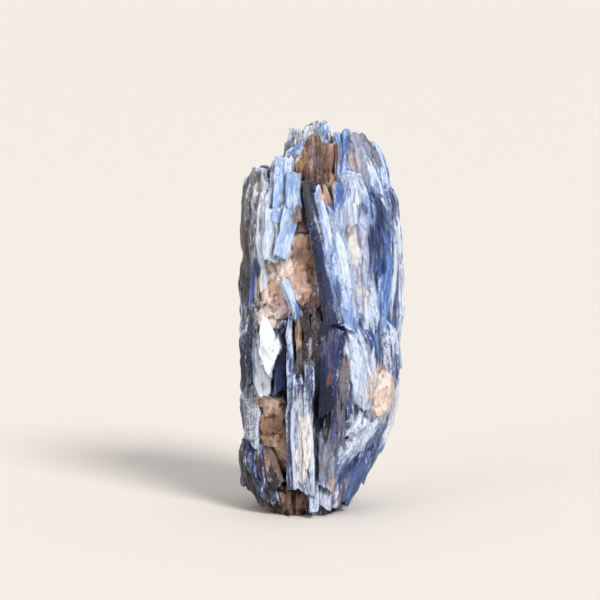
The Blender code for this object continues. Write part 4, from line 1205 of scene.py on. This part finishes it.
def kyanite_material():
    """Kyanite: two tones in streaks along the blade, with frost, specks, grains and dark lines over them, and
    painted shade toward a dark navy.
    """
    n = Nodes("kyanite")
    grain = n.attribute("grain", "Vector")

    def along(wide, long, detail, roughness):
        """Noise whose spots are stretched along the blade."""
        return n.noise(n.stretch(grain, (wide, long, 1)), 1.0, detail, roughness)

    streaks, clouds = along(1.0, 0.12, 4.0, 0.65), along(0.38, 0.16, 3.0, 0.6)
    striae, flakes = along(2.0, 0.22, 3.0, 0.70), along(1.9, 0.62, 6.0, 0.80)
    specks, grains = along(2.0, 1.0, 4.0, 0.75), along(1.9, 1.2, 4.0, 0.8)
    lines = along(1.5, 0.17, 4.0, 0.75)

    patch = n.swing(n.swing(n.swing(n.attribute("patch"), streaks, 2.4), clouds, 1.4), flakes, 1.2)
    tone = n.mix(n.ramp(patch, 0.26, 0.74), n.attribute("tone_a", "Color"), n.attribute("tone_b", "Color"))
    fine = n.math("MULTIPLY_ADD", striae, 0.7, n.math("MULTIPLY", streaks, 0.3))
    calm = n.math("MULTIPLY_ADD", n.attribute("smooth"), -0.7, 1.0)
    tone = n.mix(calm, tone, n.ramp(fine, 0.34, 0.66, 0.56, 1.30), "MULTIPLY")

    worn, sparkle = n.attribute("frost"), n.attribute("sparkle")
    frost = n.math("MULTIPLY_ADD", worn, 0.90, n.math("MULTIPLY_ADD", flakes, 2.2, -1.56))
    frost = n.ramp(n.swing(frost, clouds, 0.6), -0.05, 0.30)
    tone = n.toward(tone, n.math("MULTIPLY", frost, 0.8), FROST_TONE)
    for over, spots, colour in (
        (n.ramp(specks, 0.56, 0.70, 0.0, 0.6), n.ramp(worn, 0.0, 0.5, 0.2, 1.0), FROST_TONE),
        (calm, n.ramp(specks, 0.30, 0.43, 0.60, 0.0), LINE_TONE),
        # White specks on the granular blades are painted glints; the dark specks beside them are gaps between
        # grains.
        (sparkle, n.ramp(grains, 0.50, 0.60, 0.0, 0.7), PAINTED_GLINT_TONE),
        (sparkle, n.ramp(grains, 0.37, 0.45, 0.65, 0.0), LINE_TONE),
        (calm, n.ramp(lines, 0.33, 0.42, 0.70, 0.0), LINE_TONE),
    ):
        tone = n.toward(tone, n.math("MULTIPLY", over, spots), colour)
    # Painted shade: where the shade attribute is low, in hollows and seams, the colour goes toward the dark
    # navy.
    tone = n.mix(n.attribute("shade"), (*linear(PAINTED_SHADE_TONE), 1), tone)

    n.put(n.shader.inputs["Base Color"], tone)
    n.put(n.shader.inputs["Roughness"], n.math("MULTIPLY_ADD", frost, 0.25, 0.28))
    n.shader.inputs["Specular IOR Level"].default_value = 0.3
    normal = n.bump(striae, 0.00030, 0.9)
    normal = n.bump(streaks, 0.0006, 0.8, normal)
    n.put(n.shader.inputs["Normal"], n.bump(flakes, 0.0004, 0.6, normal))
    return n.material


def grain_material(name, roughness, glassy):
    """Intergrown grains of quartz, feldspar or matrix."""
    n = Nodes(name)
    grain = n.attribute("grain", "Vector")
    clouds = n.noise(grain, 0.55, 4.0, 0.6)
    fine = n.noise(grain, 3.0, 4.0, 0.65)
    patch = n.swing(n.attribute("patch"), clouds, 1.5)
    tone = n.mix(n.ramp(patch, 0.25, 0.75), n.attribute("tone_a", "Color"), n.attribute("tone_b", "Color"))
    tone = n.mix(1.0, tone, n.ramp(fine, 0.3, 0.7, 0.80, 1.14), "MULTIPLY")
    # Painted shade from the shade attribute darkens the cracks and hollows.
    tone = n.mix(1.0, tone, n.attribute("shade"), "MULTIPLY")
    n.put(n.shader.inputs["Base Color"], tone)
    n.put(n.shader.inputs["Roughness"], n.ramp(fine, 0.3, 0.7, roughness - 0.08, roughness + 0.14))
    for socket, value in (
        ("Subsurface Weight", 0.12 * glassy),
        ("Subsurface Radius", (1.0, 0.5, 0.3)),
        ("Subsurface Scale", 0.0015),
        ("Coat Weight", 0.2 * glassy),
        ("Coat Roughness", 0.15),
        ("Specular IOR Level", 0.3),
    ):
        n.shader.inputs[socket].default_value = value
    normal = n.bump(fine, 0.0004, 0.7)
    n.put(n.shader.inputs["Normal"], n.bump(clouds, 0.0008, 0.5, normal))
    return n.material


# ---- Pieces ----

SHARP = math.radians(32)  # edges that break more than this stay crisp
UNROLL_RADIUS = 30  # mm, of the cylinder that a piece's map is unrolled from
MAP_MARGIN = 0.002  # of the map's width, kept free at its edges


def add_paint(mesh, paint, used):
    """Puts the paint of the points that a mesh uses on it as attributes."""
    for key, values in paint.items():
        values = values[used]
        kind, field = "FLOAT_COLOR", "color"
        if values.ndim == 1:
            kind, field = "FLOAT", "value"
        elif key == "grain":
            kind, field = "FLOAT_VECTOR", "vector"
        else:
            values = np.concatenate((values, np.ones((len(values), 1))), 1)
        layer = mesh.attributes.new(key, kind, "POINT")
        layer.data.foreach_set(field, values.astype(np.float32).ravel())


def unroll(mesh, points, faces):
    """A map that unrolls the piece about the upright axis, with its own middle as the way ahead."""
    middle = np.arctan2(points[:, 0].mean(), -points[:, 1].mean())
    turn = np.arctan2(points[:, 0], -points[:, 1]) - middle
    turn = (turn + math.pi) % (2 * math.pi) - math.pi
    flat = np.stack((turn * UNROLL_RADIUS, points[:, 2]), 1)
    flat = (flat - flat.min(0)) / np.ptp(flat, axis=0)
    flat = MAP_MARGIN + (1 - 2 * MAP_MARGIN) * flat[faces.ravel()]
    mesh.uv_layers.new(name="OFBake").uv.foreach_set("vector", flat.astype(np.float32).ravel())


def add_mesh(name, points, faces, paint, material, unwrap=True):
    """One piece of the skin, with its paint as attributes."""
    used, faces = np.unique(faces, return_inverse=True)
    faces, points = faces.reshape(-1, 4), points[used]
    mesh = bpy.data.meshes.new(name)
    mesh.vertices.add(len(points))
    mesh.vertices.foreach_set("co", (points * MM).astype(np.float32).ravel())
    mesh.loops.add(faces.size)
    mesh.loops.foreach_set("vertex_index", faces.astype(np.int32).ravel())
    mesh.polygons.add(len(faces))
    mesh.polygons.foreach_set("loop_start", np.arange(len(faces), dtype=np.int32) * 4)
    mesh.update(calc_edges=True)
    add_paint(mesh, paint, used)
    if unwrap:
        unroll(mesh, points, faces)
    mesh.shade_smooth()
    mesh.set_sharp_from_angle(angle=SHARP)
    mesh.materials.append(material)
    made = bpy.data.objects.new(name, mesh)
    bpy.context.scene.collection.objects.link(made)
    return made


def add_piece(made, node, slot):
    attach(made, "root")
    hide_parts(node)


def group_of(lath):
    """The name of the piece that shows a lath."""
    middle = (lath.foot + lath.tip) / 2
    if lath.name.startswith("crown") and lath.name[5] in "-0123456789":  # named by its row and column
        return "crown"
    if lath.name.startswith("side"):
        return "side_right" if middle.x > 14 else "side_left" if middle.x < -14 else "back"
    if middle.z < 45 and middle.x > -2:
        return "front_low"
    return "front_left" if middle.x < -13 else "front_middle" if middle.x < 7 else "front_right"


# How each filling looks: grain size in mm, how much longer the grains are upright, how far its face stands
# out of the body's, how deep its breaks and its fibres are, its tones, roughness and glass
Look = namedtuple("Look", "grain upright proud relief fibres light dark roughness glassy")
LOOKS = {
    "quartz_front": Look(4.6, 1.3, -1.8, 0.62, 0.0, "pink", "blush", 0.24, 1.0),
    "quartz_lower": Look(5.6, 0.8, -2.4, 0.5, 0.12, "tan", "clay", 0.3, 0.8),
    "quartz_crown": Look(2.8, 7.0, -6.0, 0.5, 0.9, "clay", "cocoa", 0.45, 0.4),
    "matrix": Look(3.0, 2.5, -0.8, 1.2, 0.3, "brown", "umber", 0.8, 0.0),
    "feldspar_seam": Look(2.0, 2.0, 0.1, 0.4, 0.0, "silver", "lavender", 0.5, 0.3),
    "feldspar_patch": Look(2.6, 1.2, 0.2, 0.4, 0.0, "peach", "chalk", 0.5, 0.3),
}

BALL_MERGE = 3.0  # mm, over which a filling's balls run together


def filling_room(filling, place):
    """Distances to a filling before its grains are cut: balls run together, with a face near the body's."""
    balls = balls_distance(balls_of(filling), place, BALL_MERGE)
    return np.maximum(balls, body_distance(place) - LOOKS[filling.slot].proud)


# How far blades run together, in mm: everywhere, more on the right, in the umber fibres, and where they are
# fused, which is at the crown's back rim, the left side and the lower right
MERGE, MERGE_RIGHT, MERGE_UMBER, MERGE_FUSED = 0.7, 0.8, 1.2, 1.8
FUSED = "rim", "left", "cream", "shoulder", "silver", "low_right", "streak", "rough"
GAP = 0.3  # mm, between the fillings and what would reach into their room
BENDS = (  # the blades' wide and narrow bends: how far apart and how deep along each axis, in mm, and a seed
    ((9, 9, 17), (0.36, 0.36, 0.8), 100),
    ((2.6, 2.6, 6), (0.10, 0.10, 0.25), 200),
)
ROUGH, RUGGED = 0.11, 0.42  # mm, how uneven the surface is everywhere, and further on the left


def merge_of(lath):
    """How far a lath's edges run into its neighbours', in mm."""
    if lath.name.startswith(FUSED):
        return MERGE_FUSED
    if lath.name.startswith("umber"):
        return MERGE_UMBER
    return MERGE + MERGE_RIGHT * float(step_up(lath.foot.x, 2, 10))


def sculpt(laths):
    """The grid with every lath and the core in it, roughened and cut flat below."""
    grid = Grid(GRID_LOW, GRID_HIGH, GRID_STEP)
    grid.warp(BENDS)
    rooms = np.minimum.reduce([filling_room(filling, grid.place) for filling in FILLINGS]) + GAP
    for number, lath in enumerate(laths):
        carve(grid, lath, number, merge_of(lath), rooms if "_behind" in lath.name else None)
    carve_core(grid, rooms, len(laths))
    grid.distance += ROUGH * grid.swell((1.6, 1.6, 2.8), 301)
    on_left = step_up(-grid.place[0], 17, 23).astype(np.float32)
    grid.distance += RUGGED * on_left * grid.swell((3.4, 3.4, 4.6), 302)
    grid.distance = np.maximum(grid.distance, -grid.place[2])
    return grid


def paint_owner(grid, points, owner):
    """Whose paint each point wears: shaken, so that blades meet in ragged edges."""
    round_it, up = way_round(points[:, 0], points[:, 1], SKIN_RADIUS), points[:, 2]
    shake = [0.7 * noise(round_it * 1.1, up * 0.3, 61), 0.5 * noise(round_it * 1.1, up * 0.3, 62)]
    shake.append(3.0 * noise(round_it * 1.6, up * 0.15, 63))
    shaken = grid.nearest(grid.owner, points + np.stack(shake, 1))
    return np.where(shaken < 0, owner, shaken)


def add_kyanite():
    """Sculpts and paints the kyanite, and cuts its skin in pieces by where the blades are."""
    front = front_laths()
    laths = front + side_laths() + crown_laths() + backing(front)
    grid = sculpt(laths)
    points, faces = grid.skin()
    owner = grid.nearest(grid.owner, points)
    paint = paint_laths(points, paint_owner(grid, points, owner), grid, laths)
    soften(paint, faces, PAINT_RUN)
    add_frost_and_painted_shade(points, paint, grid)
    add_marks(points, paint, MARKS)

    material = kyanite_material()
    groups = [group_of(lath) for lath in laths] + ["core"]
    names = sorted(set(groups))
    group_number = np.array([names.index(group) for group in groups])
    face_group = group_number[owner[faces[:, 0]]]
    for number, name in enumerate(names):
        own_faces = faces[face_group == number]
        made = add_mesh(f"kyanite_{name}", points, own_faces, paint, material, name != "crown")
        add_piece(made, "kyanite_blades", "kyanite")


FILLING_MARK_ROWS = (
    ("quartz_brown_top", (-6.0, 105.0), (5.6, 8.0), 8, "clay", 0.7),
    ("quartz_tan_right", (-5.5, 95.0), (7.0, 11.0), 8, "clay", 0.65),
    ("quartz_low_dark", (-3.4, 81.0), (5.6, 7.0), 0, "cocoa", 0.85),
    ("quartz_rust", (-18.6, 91.0), (2.4, 3.6), 0, "clay", 0.75),
    ("quartz_orchid", (-15.0, 84.0), (3.0, 5.0), 0, "orchid", 0.6),
    ("lower_pale_top", (-17.6, 46.0), (3.6, 2.6), 0, "blush", 0.8),
    ("lower_tan", (-16.0, 34.0), (6.0, 8.0), 0, "brown", 0.6),
    ("lower_dark_foot", (-17.0, 21.0), (3.0, 6.0), 0, "umber", 0.8),
    ("lower_golden", (-13.0, 21.0), (3.4, 7.0), 30, "tan", 0.4),
    ("crown_ochre", (-8.4, 143.2), (3.4, 6.5), 0, "ochre", 0.6),
    ("crown_pale", (-10.6, 144.0), (2.6, 5.0), 0, "cream", 0.6),
    ("crown_grey", (-3.2, 145.0), (2.4, 9.0), 0, "taupe", 0.6),
    ("crown_brown", (2.0, 142.0), (3.6, 10.0), 0, "brown", 0.75),
    ("crown_dark", (-0.8, 146.0), (1.0, 8.0), 0, "umber", 0.5),
    ("crown_low_dark", (-1.4, 135.0), (3.0, 5.0), 0, "umber", 0.5),
    ("seam_cream", (12.4, 108.0), (1.6, 8.0), 10, "cream", 0.85),
    ("seam_cream_low", (17.0, 89.0), (2.2, 6.0), 10, "cream", 0.85),
    ("patch_pink", (24.6, 50.0), (3.0, 4.0), 0, "blush", 0.5),
    ("lower_fibres", (-14.5, 24.0), (3.6, 6.0), 30, "tan", 0.4),
    ("matrix_tan", (-16.0, 8.0), (2.2, 2.4), 0, "tan", 0.5),
    ("matrix_tan_right", (-7.0, 7.0), (1.6, 3.4), 0, "clay", 0.5),
)
FILLING_MARKS = [Mark(*row) for row in FILLING_MARK_ROWS]
FILLING_STEP = (0.42, 0.42, 0.5)  # mm, of a filling's own grid
SMALL_GRAIN = 0.38  # of a coarse grain, the size of the small ones in it


def fibres(across, up, seed):
    """Upright fibres, as how far they are set in, about -1 to 1."""
    return 0.5 * noise(across * 0.9, up * 0.05, seed) + 0.5 * noise(across * 2.4, up * 0.09, seed + 1)


def grains_of(places, look, seed):
    """The coarse and the small grains that places of a filling lie in."""
    return facets(places, look.grain, seed), facets(places, look.grain * SMALL_GRAIN, seed + 7)


def filling_grid(filling, look, squash, seed):
    """A filling's own grid, with its mass cut into grains and fibres."""
    balls = balls_of(filling)
    low = np.min([np.array(c) - r - 2 for c, r in balls], axis=0)
    high = np.max([np.array(c) + r + 2 for c, r in balls], axis=0)
    own = Grid(low, high, FILLING_STEP)
    own.distance = filling_room(filling, own.place)
    close = np.abs(own.distance) < 2.6
    places = np.stack([place[close] for place in own.place], 1) * squash
    coarse, small = grains_of(places, look, seed)
    own.distance[close] += look.relief * (coarse.inward * 0.75 + small.inward * 0.55) + 0.15
    own.distance[close] += look.fibres * fibres(places[:, 0], own.place[2][close], seed)
    own.distance = np.maximum(own.distance, 0.02 - own.place[2])
    return own


def filling_paint(points, own, look, squash, seed):
    """A filling's paint: each grain has its own tone, and painted shade darkens the cracks between grains and
    the hollows.
    """
    coarse, small = grains_of(points * squash, look, seed)
    crack_shade = 0.3 * step_up(-coarse.border, -0.4, 0) + 0.15 * step_up(-small.border, -0.3, 0)
    ridge, bulk = relief(own, points, 0.9, 0.3)
    lit = (1 + 0.14 * chance(small.number, 9) + 0.12 * chance(coarse.number, 19))[:, None]
    across, _, up = points.T
    lit = lit * np.clip(1 - 1.1 * look.fibres * fibres(across * 1.6, up, seed + 5), 0.3, 2)[:, None]
    patch = 0.5 + 0.35 * chance(coarse.number, 29) + 0.2 * chance(small.number, 39)
    return {
        "tone_a": LINEAR[look.light] * lit,
        "tone_b": LINEAR[look.dark] * lit,
        "grain": points * squash,
        "patch": patch + look.fibres * fibres(across, up, seed),
        # Painted shade: darker in the cracks between grains, in hollows and in the dips of the form.
        "shade": (1 - look.relief * crack_shade) * (1 - 0.2 * np.clip(-ridge, 0, 1) - 0.25 * np.clip(-bulk, 0, 1)),
    }


def filling_piece(filling):
    """A pocket's mineral as intergrown grains with flat, glassy breaks."""
    look, seed = LOOKS[filling.slot], hash_of(filling.name)
    squash = np.array((1, 1, 1 / look.upright))
    own = filling_grid(filling, look, squash, seed)
    points, faces = own.skin()
    paint = filling_paint(points, own, look, squash, seed)
    add_marks(points, paint, FILLING_MARKS)
    material = grain_material(filling.slot, look.roughness, look.glassy)
    return add_mesh(f"{filling.name}_grains", points, faces, paint, material, False)


add_kyanite()
for filling in FILLINGS:
    add_piece(filling_piece(filling), filling.name, filling.slot)

# ---- Stage, light and camera ----

FLOOR_TONE, FLOOR_ROUGHNESS = (219, 212, 204), 0.7
FLOOR_RADIUS = 9.0  # metres


def stage_floor():
    """A wide pale floor, so that it is all there is behind the specimen from every side."""
    n = Nodes("studio_floor")
    n.shader.inputs["Base Color"].default_value = (*linear(FLOOR_TONE), 1)
    n.shader.inputs["Roughness"].default_value = FLOOR_ROUGHNESS
    bpy.ops.mesh.primitive_circle_add(vertices=96, radius=FLOOR_RADIUS, fill_type="NGON")
    made = bpy.context.object
    made.name = made.data.name = "studio_floor"
    made.data.materials.append(n.material)
    return made


stage_floor()


def sun(name, place, strength, spread):
    """A soft light from a far place, whose disc is that many degrees across."""
    data = bpy.data.lights.new(name, "SUN")
    data.energy, data.angle = strength, math.radians(spread)
    made = bpy.data.objects.new(name, data)
    made.location = place
    made.rotation_euler = Vector(place).to_track_quat("Z", "Y").to_euler()
    bpy.context.scene.collection.objects.link(made)
    return made


sun("key", (0.55, -0.75, 0.85), 2.9, 20)
sun("fill", (-0.9, -0.7, 0.5), 0.55, 40)
sun("top", (0.0, 0.2, 1.1), 0.6, 60)

world = bpy.data.worlds.new("studio")
world.use_nodes = True
world.node_tree.nodes["Background"].inputs[0].default_value = (0.98, 0.99, 1.0, 1)
world.node_tree.nodes["Background"].inputs[1].default_value = 0.46
bpy.context.scene.world = world

LENS, SENSOR = 200.0, 36.0
FRAME_WIDTH = 0.240  # metres across the picture, at the cluster
AIM = Vector((-0.0084, 0, 0.0829))
camera_data = bpy.data.cameras.new("camera")
camera_data.lens, camera_data.sensor_width = LENS, SENSOR
camera = bpy.data.objects.new("camera", camera_data)
distance = FRAME_WIDTH * LENS / SENSOR
camera.location = AIM + Vector((0, -math.cos(LOOK_DOWN), math.sin(LOOK_DOWN))) * distance
camera.rotation_euler = (math.pi / 2 - LOOK_DOWN, 0, 0)
bpy.context.scene.collection.objects.link(camera)
bpy.context.scene.camera = camera
bpy.context.scene.view_settings.view_transform = "Standard"
